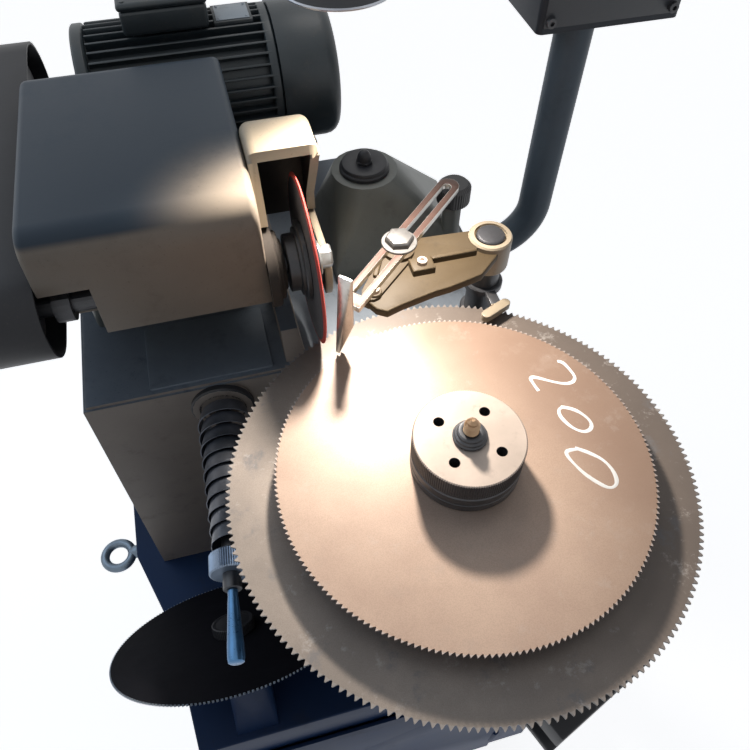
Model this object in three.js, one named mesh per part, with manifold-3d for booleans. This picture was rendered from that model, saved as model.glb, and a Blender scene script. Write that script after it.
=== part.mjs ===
// Circular saw blade sharpening machine: a floor-standing base, a bed casting, a belt-driven
// grinding head on two slides, a blade arbor on a radial guide, a pawl feed and a control box.
// Millimetres, +Z up. The origin is the middle of the base's underside. The operator stands at -Y.
import * as THREE from 'three';
import { mergeVertices } from 'three/addons/utils/BufferGeometryUtils.js';
import { ConvexGeometry } from 'three/addons/geometries/ConvexGeometry.js';
import Module from 'manifold-3d';

const wasm = await Module();
wasm.setup();

// Running gap between neighbours, and how far a cutting tool reaches past what it cuts
const gap = 0.3;
const overrun = 5;

// Base cabinet
const baseHeight = 600;
const baseWidth = 558;
const baseDepth = 594;
const baseCornerCut = 54;
const baseCornerRun = 155;
const baseSideRun = 113;
const baseCornerStep = 37;
const kickHeight = 60;
const kickInset = 28;
const cabinetWall = 40;
const doorWidth = 400;
const doorHeight = 430;
const doorRise = 95;
const doorThickness = 4;
const doorLap = 12;
const hingeRadius = 6;
const hingeLength = 60;
const latchRadius = 14;
const latchStem = 8;
const latchDepth = 16;
const plateThickness = 4;

// Bed casting
const bedHeight = 360;
const bedWidth = 444;
const bedDepth = 336;
const bedLeftInset = 36;
const bedBackInset = 7;
const bedCorner = 12;
const bedCutWidth = 52;
const bedCutDepth = 100;
const bedEdge = 3;
const coverPlateWidth = 124;
const coverPlateDepth = 84;
const coverPlateThickness = 3;
const coverPlateInset = 66;
const coverPlateSetback = 7;
const railWidth = 22;
const railHeight = 25;
const railLeft = 204;
const railLength = 250;

// Blades and arbor
const bladeRise = 40;
const arborX = 79;
const arborSetback = 520; // the arbor in front of the bed's back
const largeRadius = 200;
const largeTeeth = 200;
const indexRadius = 157.5;
const indexTeeth = 200;
const spareRadius = 137.5;
const spareTeeth = 100;
const bladeThickness = 2;
const bladeBore = 20;
const toothDepthShare = 0.62;
const spacerHeight = 22;
const spacerRadius = 32;
const flangeRadius = 45.6;
const collarHeight = 18.5;
const topFlangeHeight = 20;
const flangeHoleRadius = 3.2;
const flangeHoleCircle = 27.5;
const flangeHoles = 4;
const knurls = 32;
const knurlDepth = 0.7;
const lowerFlangeRadius = 50;
const lowerFlangeHeight = 13;
const arborRadius = 16;
const arborShoulder = 44;
const shoulderHeight = 5;
const studRadius = 6;
const studHeight = 23;
const studTip = 6;
const nutFlats = 19;
const nutHeight = 9;

// Radial guide and carriage
const guideTurn = -69;
const guideFront = 196.5;
const guideBack = 175;
const guideWidth = 104;
const guideHeight = 60;
const guideDrop = 80;
const grooveWidth = 24;
const grooveDepth = 12;
const carriageLength = 130;
const carriageWidth = 92;
const carriageHeight = 24;
const arborHousingRadius = 40;
const arborFloor = 6;
const kneeTopFront = 110;
const kneeBottomFront = 40;
const kneeBack = 150;
const kneeTopWidth = 84;
const kneeBottomWidth = 120;

// Grinding head
const headDepth = 252;
const headWidth = 192;
const headHeight = 112;
const headRight = 123;
const headLead = 25.5;
const headUnder = 21;
const headRound = 9;
const notchWidth = 43;
const notchHeight = 55;
const notchDepth = 30;
const saddleHeight = 42;
const saddleWidth = 168;
const saddleDepth = 150;
const saddleSetback = 96;
const headSlideWidth = 120;
const spindleRadius = 10;
const spindleNose = 8;
const bearingRadius = 17;
const bearingWidth = 15;
const boreClearance = 0.4;
const wheelRadius = 80;
const wheelRiseShare = 0.9;
const wheelClearance = 2.2;
const wheelThickness = 3;
const wheelX = -84;
const innerFlangeRadius = 38;
const innerFlangeStep = 27;
const innerFlangeHub = 10;
const innerFlangeWidth = 18;
const outerFlangeRadius = 34;
const outerFlangeWidth = 8;
const boltFlats = 22;
const boltHead = 12;
const boltWasher = 16;
const boltWasherThickness = 3;

// Wheel guard
const guardWall = 8;
const guardWidth = 63;
const guardLead = 32.5;
const guardBackClearance = 7;
const guardTopClearance = 12;
const guardLow = 60;
const guardRound = 22;

// Motor and belt drive
const motorReach = 312.5;
const motorZ = 82;
const motorRadius = 66;
const finHeight = 9;
const finCount = 24;
const finShare = 0.42;
const motorLeft = 262;
const motorLength = 205;
const shieldThickness = 14;
const fanCoverLength = 66;
const fanCoverRound = 14;
const fanCoverRadius = 77;
const motorShaftRadius = 9.5;
const footHeight = 16;
const footWidth = 30;
const footLength = 110;
const terminalWidth = 92;
const terminalDepth = 78;
const terminalSetback = 8;
const terminalPlaceShare = 0.46;
const terminalHeight = 34;
const spindlePulleyRadius = 32;
const motorPulleyRadius = 48;
const pulleyWidth = 24;
const beltWidth = 18;
const beltThickness = 5;
const beltCoverWidth = 52;
const beltCoverWall = 3;
const beltCoverMargin = 15;
const pulleyInset = 14;

// Infeed screw
const screwX = -190;
const screwZ = -73;
const screwTurn = 5.5;
const screwRadius = 8.3;
const screwDepth = 140;
const screwReach = 203;
const dialRadius = 20;
const dialLength = 19;
const dialSetback = 188;
const gripRadius = 7.4;
const gripLength = 62;
const gripNeck = 5;
const coverTurns = 10;
const coverBigRadius = 28;
const coverSmallRadius = 17;
const coverStrip = 11;
const coverThickness = 1.4;
const coverEnd = 8;

// Feed housing and pawl feed
const feedX = 7;
const feedY = 355;
const feedHeight = 100;
const feedTopRadius = 36;
const feedLeft = 48;
const feedRight = 108;
const feedFront = 64;
const feedBack = 60;
const feedSkirt = 38;
const capRadius = 27;
const capHeight = 9;
const domeRadius = 9;
const domeHeight = 14;
const postX = 95;
const postY = 208;
const postRadius = 12;
const postFoot = 20;
const postFootHeight = 14;
const leverTop = 74;
const leverThickness = 17;
const bossRadius = 17.5;
const bossHeight = 34;
const pinCapRadius = 11.5;
const pinCapHeight = 4;
const clampX = 3;
const clampY = 210;
const clampBossRadius = 15;
const lugRadius = 9;
const webWidth = 24;
const barTurn = 44.2;
const barNear = 90;
const barFar = 112;
const barWidth = 22;
const barSlot = 9;
const barSlotMargin = 14;
const barThickness = 6;
const barBoltFlats = 24;
const barBoltHead = 9;
const barWasherRadius = 17;
const barWasherThickness = 2.5;
const pawlThickness = 3;
const pawlWidth = 13;
const pawlTipWidth = 4;
const pawlClearance = 1.2;
const pawlTipDrop = 1;
const pawlAngle = 116.6;
const pawlHead = 34;
const knobX = 92;
const knobY = 303;
const knobRadius = 16;
const knobHeight = 26;
const knobPost = 77;
const knobPostRadius = 10;
const steadyLength = 46;
const steadyWidth = 10;
const steadyHeight = 8;
const steadyRise = 6;
const steadyTurn = -118;

// Control box, its tube and the lamp
const tubeRadius = 19;
const tubeX = 218;
const tubeY = 348;
const tubeBend = 58;
const tubeDrop = 80;
const tubeTop = 200;
const boxLeft = 167;
const boxFront = 325;
const boxWidth = 148;
const boxDepth = 80;
const boxHeight = 150;
const boxRound = 6;
const buttonRadius = 9;
const buttonLength = 8;
const stopRadius = 18;
const stopLength = 14;
const stopStem = 10;
const stopTravel = 4;
const buttonColumn = 38;
const stopColumn = 108;
const buttonRow = 95;
const lampX = -38;
const lampY = 256;
const lampRim = 300;
const lampRadius = 44;
const lampNeck = 17;
const lampHeight = 70;
const lampWall = 2;
const lampArmRadius = 6;
const lampArmRise = 36;
const lampArmSetback = 40;

// Eye bolt, spare blade and its rest
const eyeRadius = 18.5;
const eyeThickness = 6;
const eyeShank = 8;
const eyeShankRadius = 9;
const eyeDrop = 14;
const eyeY = 216;
const spareX = -233;
const spareY = 24;
const spareRise = 110; // the spare blade's centre above the base's top
const spareTilt = 45;
const restRadius = 19.5;
const restFlange = 30;
const restFlangeThickness = 6;
const restPostWidth = 50;
const restFootInset = 8;
const restFootDepth = 60;
const spareNutRadius = 24;
const spareNutHeight = 12;

// Colours
function paint(color, roughness, metalness) {
  return new THREE.MeshStandardMaterial({ color, roughness, metalness });
}
const colours = {
  cream: [0xb9a98c, 0.45, 0.05],
  castGreen: [0x7c8b84, 0.5, 0.05],
  baseBlue: [0x1f4f86, 0.45, 0.05],
  motorBlue: [0x24343b, 0.5, 0.1],
  black: [0x17181a, 0.5, 0.05],
  steel: [0x9a9792, 0.35, 0.9],
  blade: [0x8d7f70, 0.38, 0.85],
  darkSteel: [0x3a3a3c, 0.4, 0.8],
  wheelRed: [0xb3352c, 0.8, 0.0],
  copper: [0x8c5f45, 0.35, 0.8],
  tubeBlue: [0x6f8793, 0.4, 0.1],
  boxBlue: [0x3d5a78, 0.4, 0.1],
  green: [0x2d8a4a, 0.4, 0.0],
  red: [0xc02a22, 0.4, 0.0],
};

const machine = new THREE.Group();

// Adds a named sub-part to a group
function piece(parent, name, geometry, colour, x = 0, y = 0, z = 0) {
  const mesh = new THREE.Mesh(geometry, paint(...colours[colour]));
  mesh.name = name;
  mesh.position.set(x, y, z);
  parent.add(mesh);
  return mesh;
}

function rad(degrees) {
  return THREE.MathUtils.degToRad(degrees);
}

// A closed mesh as a solid, and back
function solidOf(geometry) {
  const bare = geometry.index ? geometry.toNonIndexed() : geometry.clone();
  bare.deleteAttribute('normal');
  bare.deleteAttribute('uv');
  const merged = mergeVertices(bare, 1e-3);
  return new wasm.Manifold(new wasm.Mesh({
    numProp: 3,
    vertProperties: new Float32Array(merged.attributes.position.array),
    triVerts: new Uint32Array(merged.index.array),
  }));
}

function geometryOf(solid) {
  const mesh = solid.getMesh();
  const geometry = new THREE.BufferGeometry();
  geometry.setAttribute('position', new THREE.BufferAttribute(new Float32Array(mesh.vertProperties), 3));
  geometry.setIndex(new THREE.BufferAttribute(new Uint32Array(mesh.triVerts), 1));
  geometry.computeVertexNormals();
  return geometry;
}

function cut(body, ...tools) {
  return geometryOf(tools.reduce((left, tool) => left.subtract(solidOf(tool)), solidOf(body)));
}

function join(...bodies) {
  return geometryOf(bodies.map(solidOf).reduce((all, next) => all.add(next)));
}

// Basic forms, each standing on z = 0 unless said otherwise
function outline(points) {
  return new THREE.Shape(points.map(([x, y]) => new THREE.Vector2(x, y)));
}

function roundedRect(width, depth, radius) {
  const w = width / 2;
  const d = depth / 2;
  const shape = new THREE.Shape();
  shape.moveTo(-w + radius, -d);
  shape.lineTo(w - radius, -d);
  shape.absarc(w - radius, -d + radius, radius, -Math.PI / 2, 0);
  shape.absarc(w - radius, d - radius, radius, 0, Math.PI / 2);
  shape.absarc(-w + radius, d - radius, radius, Math.PI / 2, Math.PI);
  shape.absarc(-w + radius, -d + radius, radius, Math.PI, Math.PI * 1.5);
  return shape;
}

function slab(shape, height, curveSegments = 3) {
  return new THREE.ExtrudeGeometry(shape, { depth: height, bevelEnabled: false, curveSegments });
}

function block(width, depth, height) {
  return new THREE.BoxGeometry(width, depth, height).translate(0, 0, height / 2);
}

function rod(radius, height, sides = 20) {
  return new THREE.CylinderGeometry(radius, radius, height, sides)
    .rotateX(Math.PI / 2).translate(0, 0, height / 2);
}

function turned(profile, sides = 20) {
  const points = profile.map(([radius, height]) => new THREE.Vector2(radius, height));
  return new THREE.LatheGeometry(points, sides).rotateX(Math.PI / 2);
}

function ring(outer, inner, height, sides = 20) {
  return turned([[inner, 0], [outer, 0], [outer, height], [inner, height], [inner, 0]], sides);
}

function hexagon(flats, height) {
  return rod(flats / Math.sqrt(3), height, 6);
}

// Turns a form that stands on z = 0 so that it runs along +X, or along -Y
function alongX(geometry) {
  return geometry.rotateY(Math.PI / 2);
}

function alongFront(geometry) {
  return geometry.rotateX(Math.PI / 2);
}

function hull(...rings) {
  return new ConvexGeometry(rings.flat().map((p) => new THREE.Vector3(...p)));
}

function rectRing(left, right, front, back, z) {
  return [[left, front, z], [right, front, z], [right, back, z], [left, back, z]];
}

function circleRing(x, y, z, radius, sides = 20) {
  return Array.from({ length: sides }, (_, i) => {
    const a = (i / sides) * Math.PI * 2;
    return [x + radius * Math.cos(a), y + radius * Math.sin(a), z];
  });
}

// A saw blade: each tooth has a raked face, a tip and a curved back
function toothedDisc(radius, teeth, points) {
  const pitch = (Math.PI * 2) / teeth;
  const depth = radius * pitch * toothDepthShare;
  const toothShares = points === 3 ? [[0, 1], [0.1, 0], [0.42, 0.16]] : [[0, 1], [0.12, 0]];
  const rim = [];
  for (let i = 0; i < teeth; i += 1) {
    for (const [turn, height] of toothShares) {
      const a = -(i + turn) * pitch;
      const r = radius - depth * (1 - height);
      rim.push([r * Math.cos(a), r * Math.sin(a)]);
    }
  }
  const shape = outline(rim.reverse());
  const bore = new THREE.Path();
  bore.absarc(0, 0, bladeBore, 0, Math.PI * 2, true);
  shape.holes.push(bore);
  return slab(shape, bladeThickness, 16);
}

// A disc with a straight-knurled rim
function knurledRing(outer, inner, height) {
  const rim = [];
  for (let i = 0; i < knurls; i += 1) {
    const a = (i / knurls) * Math.PI * 2;
    const half = Math.PI / knurls;
    rim.push([outer * Math.cos(a), outer * Math.sin(a)]);
    rim.push([(outer - knurlDepth) * Math.cos(a + half), (outer - knurlDepth) * Math.sin(a + half)]);
  }
  const shape = outline(rim);
  if (inner > 0) {
    const bore = new THREE.Path();
    bore.absarc(0, 0, inner, 0, Math.PI * 2, true);
    shape.holes.push(bore);
  }
  return slab(shape, height, 12);
}

// Base cabinet: folded sheet on a recessed kick frame, with a cupboard behind the front door
const halfWidth = baseWidth / 2;
const halfDepth = baseDepth / 2;
const arborY = halfDepth - bedBackInset - arborSetback;
const doorCentreX = 0;
const doorBottom = doorRise;

function baseOutline(inset) {
  const left = -halfWidth + inset;
  const right = halfWidth - inset;
  const front = -halfDepth + inset;
  const back = halfDepth - inset;
  return outline([
    [left, back], [left, -halfDepth + baseCornerRun + baseSideRun],
    [left + baseCornerStep, -halfDepth + baseCornerRun + inset], [left + baseCornerCut, front],
    [right, front], [right, back],
  ]);
}

function baseCabinet() {
  const body = slab(baseOutline(0), baseHeight - kickHeight).translate(0, 0, kickHeight);
  const kick = slab(baseOutline(kickInset), kickHeight + overrun);
  const pocketDepth = baseDepth - cabinetWall * 2;
  const pocket = block(doorWidth - doorLap * 2, pocketDepth + overrun, doorHeight - doorLap * 2)
    .translate(doorCentreX, -halfDepth + (pocketDepth - overrun) / 2, doorBottom + doorLap);
  return cut(join(body, kick), pocket);
}

// The door's own frame is on its hinge axis, so that it opens clear of the cabinet
function baseDoor() {
  const panel = block(doorWidth, doorThickness + gap, doorHeight)
    .translate(-doorWidth / 2, hingeRadius - doorThickness * 1.5 + gap / 2, 0);
  const rim = block(doorWidth - doorLap * 2.5, doorThickness, doorHeight - doorLap * 2.5)
    .translate(-doorWidth / 2, hingeRadius - doorThickness / 2, doorLap * 1.25);
  const knuckles = [doorHeight * 0.12, doorHeight * 0.88 - hingeLength].map((z) =>
    rod(hingeRadius, hingeLength, 16).translate(0, 0, z));
  const hole = alongFront(rod(latchStem + boreClearance, (doorThickness + overrun) * 2))
    .translate(-doorWidth + latchRadius * 2, hingeRadius + overrun, doorHeight / 2);
  return cut(join(panel, rim, ...knuckles), hole);
}

function doorLatch() {
  const knob = alongFront(turned([
    [0, 0], [latchStem, 0], [latchStem, doorThickness * 2], [latchRadius, doorThickness * 2 + gap],
    [latchRadius, latchDepth], [0, latchDepth],
  ], 20));
  const bar = block(latchRadius * 0.5, latchDepth * 0.6, latchRadius * 1.7)
    .translate(0, -latchDepth * 1.2, -latchRadius * 0.85);
  return join(knob, bar);
}

function switchgearPlate() {
  const plate = block(doorWidth * 0.7, plateThickness, doorHeight * 0.7);
  const rowShares = [0.12, 0.42];
  const gear = rowShares.flatMap((row) => [-0.2, 0, 0.2].map((column) =>
    block(doorWidth * 0.14, plateThickness * 14, doorHeight * 0.16)
      .translate(doorWidth * column, -plateThickness * 7, doorHeight * row)));
  return join(plate, ...gear);
}

piece(machine, 'base_cabinet', baseCabinet(), 'baseBlue');
const doorX = doorCentreX + doorWidth / 2;
const doorY = -halfDepth - hingeRadius - gap;
const doorGroup = new THREE.Group();
doorGroup.position.set(doorX, doorY, doorBottom);
machine.add(doorGroup);
piece(doorGroup, 'base_door', baseDoor(), 'baseBlue');
piece(doorGroup, 'door_latch', doorLatch(), 'black',
  -doorWidth + latchRadius * 2, hingeRadius, doorHeight / 2);
piece(machine, 'switchgear_plate', switchgearPlate(), 'steel',
  doorCentreX, halfDepth - cabinetWall * 2 - plateThickness / 2 - gap, doorBottom + doorHeight * 0.15);

// Everything above the base is placed from the large blade's centre
const bedTop = baseHeight + bedHeight;
const work = new THREE.Group();
work.position.set(arborX, arborY, bedTop + bladeRise);
machine.add(work);
const bedTopZ = -bladeRise;
const baseTopZ = bedTopZ - bedHeight;
const bedLeft = -halfWidth + bedLeftInset - arborX;
const bedRight = bedLeft + bedWidth;
const bedBack = halfDepth - bedBackInset - arborY;
const bedFront = bedBack - bedDepth;

// Bed casting: rounded box with the bore of the infeed screw and a raised rail beside the head
function bedOutline(inset) {
  const left = inset;
  const right = bedWidth - inset;
  const back = bedDepth - inset;
  return outline([
    [left, inset], [right - bedCorner, inset], [right, inset + bedCorner], [right, back - bedCutDepth],
    [right - bedCutWidth, back], [left, back],
  ]);
}

function bedCasting() {
  const body = slab(bedOutline(0), bedHeight - gap - bedEdge).translate(bedLeft, bedFront, baseTopZ + gap);
  const edge = slab(bedOutline(bedEdge), bedEdge * 2).translate(bedLeft, bedFront, bedTopZ - bedEdge * 2);
  const rail = hull(
    rectRing(bedLeft + railLeft, bedLeft + railLeft + railWidth, bedFront + bedEdge * 2,
      bedFront + railLength, bedTopZ - overrun),
    rectRing(bedLeft + railLeft, bedLeft + railLeft + railWidth * 0.8, bedFront + bedEdge * 2 + railHeight,
      bedFront + railLength, bedTopZ + railHeight),
  );
  const collar = alongFront(ring(coverBigRadius + coverThickness * 2, screwRadius * 2, coverEnd + overrun * 2))
    .translate(0, overrun * 2, 0).rotateZ(rad(-screwTurn)).translate(screwX, bedFront, screwZ);
  const bore = alongFront(rod(screwRadius + boreClearance, screwDepth + coverEnd + overrun * 2))
    .translate(0, screwDepth, 0).rotateZ(rad(-screwTurn)).translate(screwX, bedFront, screwZ);
  return cut(join(body, edge, rail, collar), bore);
}

piece(work, 'bed_casting', bedCasting(), 'cream');
piece(work, 'bed_cover_plate',
  slab(roundedRect(coverPlateWidth, coverPlateDepth, bedEdge), coverPlateThickness),
  'castGreen', bedLeft + coverPlateInset + coverPlateWidth / 2,
  bedFront + coverPlateSetback + coverPlateDepth / 2, bedTopZ);

// Infeed screw, its dial and grip, and the telescopic spiral cover
function spiralCover() {
  const coverLength = dialSetback - dialLength - coverEnd - gap * 2;
  const run = coverLength - coverStrip;
  const steps = coverTurns * 8;
  const sides = 5;
  const positions = [];
  const lean = (coverBigRadius - coverSmallRadius) / coverTurns;
  const sectionShares = [[0, 0], [0.5, 0.62], [1, 0], [1, -1], [0, -1]];
  const rings = [];
  for (let i = 0; i <= steps; i += 1) {
    const share = i / steps;
    const angle = share * coverTurns * Math.PI * 2;
    const radius = coverBigRadius - (coverBigRadius - coverSmallRadius) * share;
    rings.push(sectionShares.map(([along, out]) => {
      const r = radius + out * coverThickness - along * lean * 0.5;
      const y = -(run * share + along * coverStrip);
      return [r * Math.cos(angle), y, r * Math.sin(angle)];
    }));
  }
  for (const points of rings) positions.push(...points.flat());
  const faces = [];
  for (let i = 0; i < steps; i += 1) {
    for (let j = 0; j < sides; j += 1) {
      const a = i * sides + j;
      const b = i * sides + ((j + 1) % sides);
      faces.push(a, a + sides, b, b, a + sides, b + sides);
    }
  }
  for (let j = 1; j < sides - 1; j += 1) {
    faces.push(0, j, j + 1);
    const last = steps * sides;
    faces.push(last, last + j + 1, last + j);
  }
  const geometry = new THREE.BufferGeometry();
  geometry.setAttribute('position', new THREE.Float32BufferAttribute(positions, 3));
  geometry.setIndex(faces);
  geometry.computeVertexNormals();
  const outward = solidOf(geometry);
  // least distance between points of turns that lie next to each other
  let least = Infinity;
  for (let i = 0; i < rings.length; i += 1) {
    for (let k = i + 5; k < Math.min(i + 12, rings.length); k += 1) {
      for (const p of rings[i]) {
        for (const q of rings[k]) least = Math.min(least, Math.hypot(p[0] - q[0], p[1] - q[1], p[2] - q[2]));
      }
    }
  }
  const volume = outward.volume().toFixed(0);
  console.log(`spiral cover: least gap between turns ${least.toFixed(2)} mm, volume ${volume}`);
  return geometry;
}

const screwGroup = new THREE.Group();
screwGroup.position.set(screwX, bedFront, screwZ);
screwGroup.rotation.z = rad(-screwTurn);
work.add(screwGroup);
piece(screwGroup, 'spiral_cover', spiralCover(), 'darkSteel', 0, -coverEnd - gap);
piece(screwGroup, 'infeed_screw', alongFront(rod(screwRadius, screwDepth + screwReach - gap, 24)), 'steel',
  0, screwDepth - gap);
piece(screwGroup, 'infeed_dial',
  alongFront(knurledRing(dialRadius, screwRadius + gap, dialLength)), 'darkSteel',
  0, dialLength - dialSetback);

// Plain round grip on the screw's end, a little narrower at its neck
piece(screwGroup, 'infeed_grip', alongFront(turned([
  [0, 0], [gripRadius * 0.8, 0], [gripRadius * 0.8, gripNeck], [gripRadius, gripNeck + bedEdge],
  [gripRadius, gripLength - bedEdge], [gripRadius * 0.8, gripLength], [0, gripLength],
])), 'steel', 0, -screwReach - gap);

// The wheel meets the blade's plane just outside the large blade, and the head is placed from it
const spindleZ = wheelRadius * wheelRiseShare;
const wheelReach = Math.sqrt(wheelRadius ** 2 - spindleZ ** 2);
const spindleY = wheelReach
  + Math.sqrt((largeRadius + wheelClearance) ** 2 - (wheelX + wheelThickness / 2) ** 2);
const headFront = spindleY - headLead;
const motorY = spindleY + motorReach;
const guardFront = spindleY + guardLead;
const guardTop = spindleZ + wheelRadius + guardTopClearance + guardWall;

// Grinding head: saddle, housing with its notch, spindle in two bearings
const headLeft = -headRight - headWidth;
const headBottom = spindleZ - headUnder;
const headMiddle = -headRight - headWidth / 2;
const saddleFront = headFront + saddleSetback;
const saddleTop = bedTopZ + saddleHeight;

function saddle() {
  const body = slab(roundedRect(saddleWidth, saddleDepth, bedEdge * 2), saddleHeight - gap);
  const lip = block(saddleWidth * 0.7, saddleDepth * 0.9, saddleHeight * 0.3)
    .translate(0, 0, saddleHeight * 0.7 + overrun);
  return cut(body, lip.translate(0, 0, saddleHeight * 0.12));
}

function headHousing() {
  const profile = new THREE.Shape();
  const r = headRound;
  profile.moveTo(0, 0);
  profile.lineTo(headDepth, 0);
  profile.lineTo(headDepth, headHeight - r * 2);
  profile.absarc(headDepth - r * 2, headHeight - r * 2, r * 2, 0, Math.PI / 2);
  profile.lineTo(r, headHeight);
  profile.absarc(r, headHeight - r, r, Math.PI / 2, Math.PI);
  const body = slab(profile, headWidth, 6)
    .rotateX(Math.PI / 2).rotateZ(Math.PI / 2)
    .translate(-headRight - headWidth, headFront, headBottom);
  const slideHeight = headBottom - saddleTop - gap;
  const slide = block(headSlideWidth, saddleDepth * 0.94, slideHeight + overrun)
    .translate(headMiddle, saddleFront + saddleDepth * 0.47, saddleTop + gap);
  const nose = alongX(rod(bearingRadius + guardWall, guardWall * 0.7))
    .translate(-headRight - gap, spindleY, spindleZ);
  const bore = alongX(rod(bearingRadius + boreClearance, headWidth + overrun * 4))
    .translate(headLeft - overrun, spindleY, spindleZ);
  const notch = block(notchWidth, notchDepth + overrun, notchHeight + overrun)
    .translate(headLeft + notchWidth / 2, headFront + (notchDepth - overrun) / 2, headBottom - overrun);
  return cut(join(body, slide, nose), bore, notch);
}

piece(work, 'infeed_saddle', saddle(), 'castGreen', headMiddle, saddleFront + saddleDepth / 2, bedTopZ + gap);
piece(work, 'head_housing', headHousing(), 'cream');
const bearingPlaces = {
  spindle_bearing_left: headLeft + overrun,
  spindle_bearing_right: -headRight - bearingWidth,
};
for (const [name, x] of Object.entries(bearingPlaces)) {
  piece(work, name, alongX(ring(bearingRadius, spindleRadius + boreClearance, bearingWidth)), 'steel',
    x, spindleY, spindleZ);
}

// Spindle with the wheel between its flanges, and the pulley at the other end
const wheelLeft = wheelX - wheelThickness / 2;
const wheelRight = wheelX + wheelThickness / 2;
const flangeLeft = wheelLeft - innerFlangeWidth;
const pulleyX = headLeft - pulleyInset - pulleyWidth;
const noseEnd = wheelRight + outerFlangeWidth;
const spindleGroup = new THREE.Group();
spindleGroup.position.set(0, spindleY, spindleZ);
work.add(spindleGroup);
piece(spindleGroup, 'spindle', alongX(turned([
  [0, pulleyX - overrun], [spindleRadius, pulleyX - overrun], [spindleRadius, flangeLeft - gap],
  [spindleNose, flangeLeft - gap], [spindleNose, noseEnd - gap], [0, noseEnd - gap],
])), 'steel');
piece(spindleGroup, 'inner_flange', alongX(turned([
  [spindleNose + gap, 0], [innerFlangeStep, 0], [innerFlangeStep, innerFlangeHub],
  [innerFlangeRadius, innerFlangeHub], [innerFlangeRadius, innerFlangeWidth],
  [spindleNose + gap, innerFlangeWidth], [spindleNose + gap, 0],
], 28)), 'darkSteel', flangeLeft);
piece(spindleGroup, 'grinding_wheel', alongX(turned([
  [spindleNose + gap, 0], [wheelRadius - wheelThickness, 0], [wheelRadius, wheelThickness * 0.35],
  [wheelRadius, wheelThickness * 0.65], [wheelRadius - wheelThickness, wheelThickness],
  [spindleNose + gap, wheelThickness], [spindleNose + gap, 0],
], 40)), 'wheelRed', wheelLeft);
piece(spindleGroup, 'outer_flange', alongX(turned([
  [spindleNose + gap, 0], [outerFlangeRadius, 0], [outerFlangeRadius, outerFlangeWidth * 0.6],
  [outerFlangeRadius * 0.7, outerFlangeWidth], [spindleNose + gap, outerFlangeWidth], [spindleNose + gap, 0],
], 28)), 'darkSteel', wheelRight);
piece(spindleGroup, 'wheel_bolt', join(
  alongX(rod(boltWasher, boltWasherThickness, 24)),
  alongX(hexagon(boltFlats, boltHead + boltWasherThickness)),
), 'steel', noseEnd);

function vPulley(radius, bore) {
  const groove = beltThickness * 1.1;
  return alongX(turned([
    [bore, 0], [radius, 0], [radius, pulleyWidth * 0.1], [radius - groove, pulleyWidth * 0.15],
    [radius - groove, pulleyWidth * 0.85], [radius, pulleyWidth * 0.9], [radius, pulleyWidth],
    [bore, pulleyWidth], [bore, 0],
  ], 24));
}
piece(spindleGroup, 'spindle_pulley', vPulley(spindlePulleyRadius, spindleRadius + gap), 'steel', pulleyX);

// Motor: finned body on feet, end shield, fan cover, terminal box
const motorGroup = new THREE.Group();
motorGroup.position.set(0, motorY, motorZ);
work.add(motorGroup);

function finnedBody() {
  const rim = [];
  const pitch = (Math.PI * 2) / finCount;
  for (let i = 0; i < finCount; i += 1) {
    const a = i * pitch;
    const tip = motorRadius + finHeight;
    rim.push([motorRadius, a - pitch * 0.5 * finShare], [tip, a - pitch * 0.3 * finShare]);
    rim.push([tip, a + pitch * 0.3 * finShare], [motorRadius, a + pitch * 0.5 * finShare]);
  }
  const shape = outline(rim.map(([r, a]) => [r * Math.cos(a), r * Math.sin(a)]));
  const fins = alongX(slab(shape, motorLength)).translate(-motorLeft, 0, 0);
  const shield = alongX(turned([
    [0, 0], [motorRadius * 0.5, 0], [motorRadius * 0.7, -shieldThickness * 0.2],
    [motorRadius + finHeight, 0],
    [motorRadius + finHeight, shieldThickness], [0, shieldThickness],
  ], 40)).translate(-motorLeft - shieldThickness * 0.5, 0, 0);
  const feet = [-1, 1].map((side) => block(footLength, footWidth, footHeight + motorRadius * 0.5)
    .translate(-motorLeft + motorLength / 2, side * motorRadius * 0.72,
      -motorRadius - finHeight - footHeight * 0.4));
  const boxSeat = block(terminalWidth * 0.8, terminalDepth * 0.6, finHeight + overrun)
    .translate(-motorLeft + motorLength * terminalPlaceShare, terminalSetback, motorRadius - overrun);
  const shaftBore = alongX(rod(motorShaftRadius + boreClearance, motorLength * 0.5))
    .translate(-motorLeft - shieldThickness - overrun, 0, 0);
  return cut(join(fins, shield, ...feet, boxSeat), shaftBore);
}

piece(motorGroup, 'motor_body', finnedBody(), 'motorBlue');
piece(motorGroup, 'fan_cover', alongX(turned([
  [0, 0], [fanCoverRadius, 0], [fanCoverRadius, fanCoverLength - fanCoverRound],
  [fanCoverRadius - fanCoverRound * 0.3, fanCoverLength - fanCoverRound * 0.3],
  [fanCoverRadius - fanCoverRound, fanCoverLength], [0, fanCoverLength],
], 32)), 'motorBlue', -motorLeft + motorLength + gap);
piece(motorGroup, 'terminal_box',
  slab(roundedRect(terminalWidth, terminalDepth, overrun), terminalHeight), 'motorBlue',
  -motorLeft + motorLength * terminalPlaceShare, terminalSetback, motorRadius + finHeight + gap);

const shaftGroup = new THREE.Group();
motorGroup.add(shaftGroup);
const motorShaftEnd = -motorLeft + motorLength * 0.4;
piece(shaftGroup, 'motor_shaft',
  alongX(rod(motorShaftRadius, motorShaftEnd - (pulleyX - overrun), 24)), 'steel',
  pulleyX - overrun);
piece(shaftGroup, 'motor_pulley', vPulley(motorPulleyRadius, motorShaftRadius + gap), 'steel', pulleyX);

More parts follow.
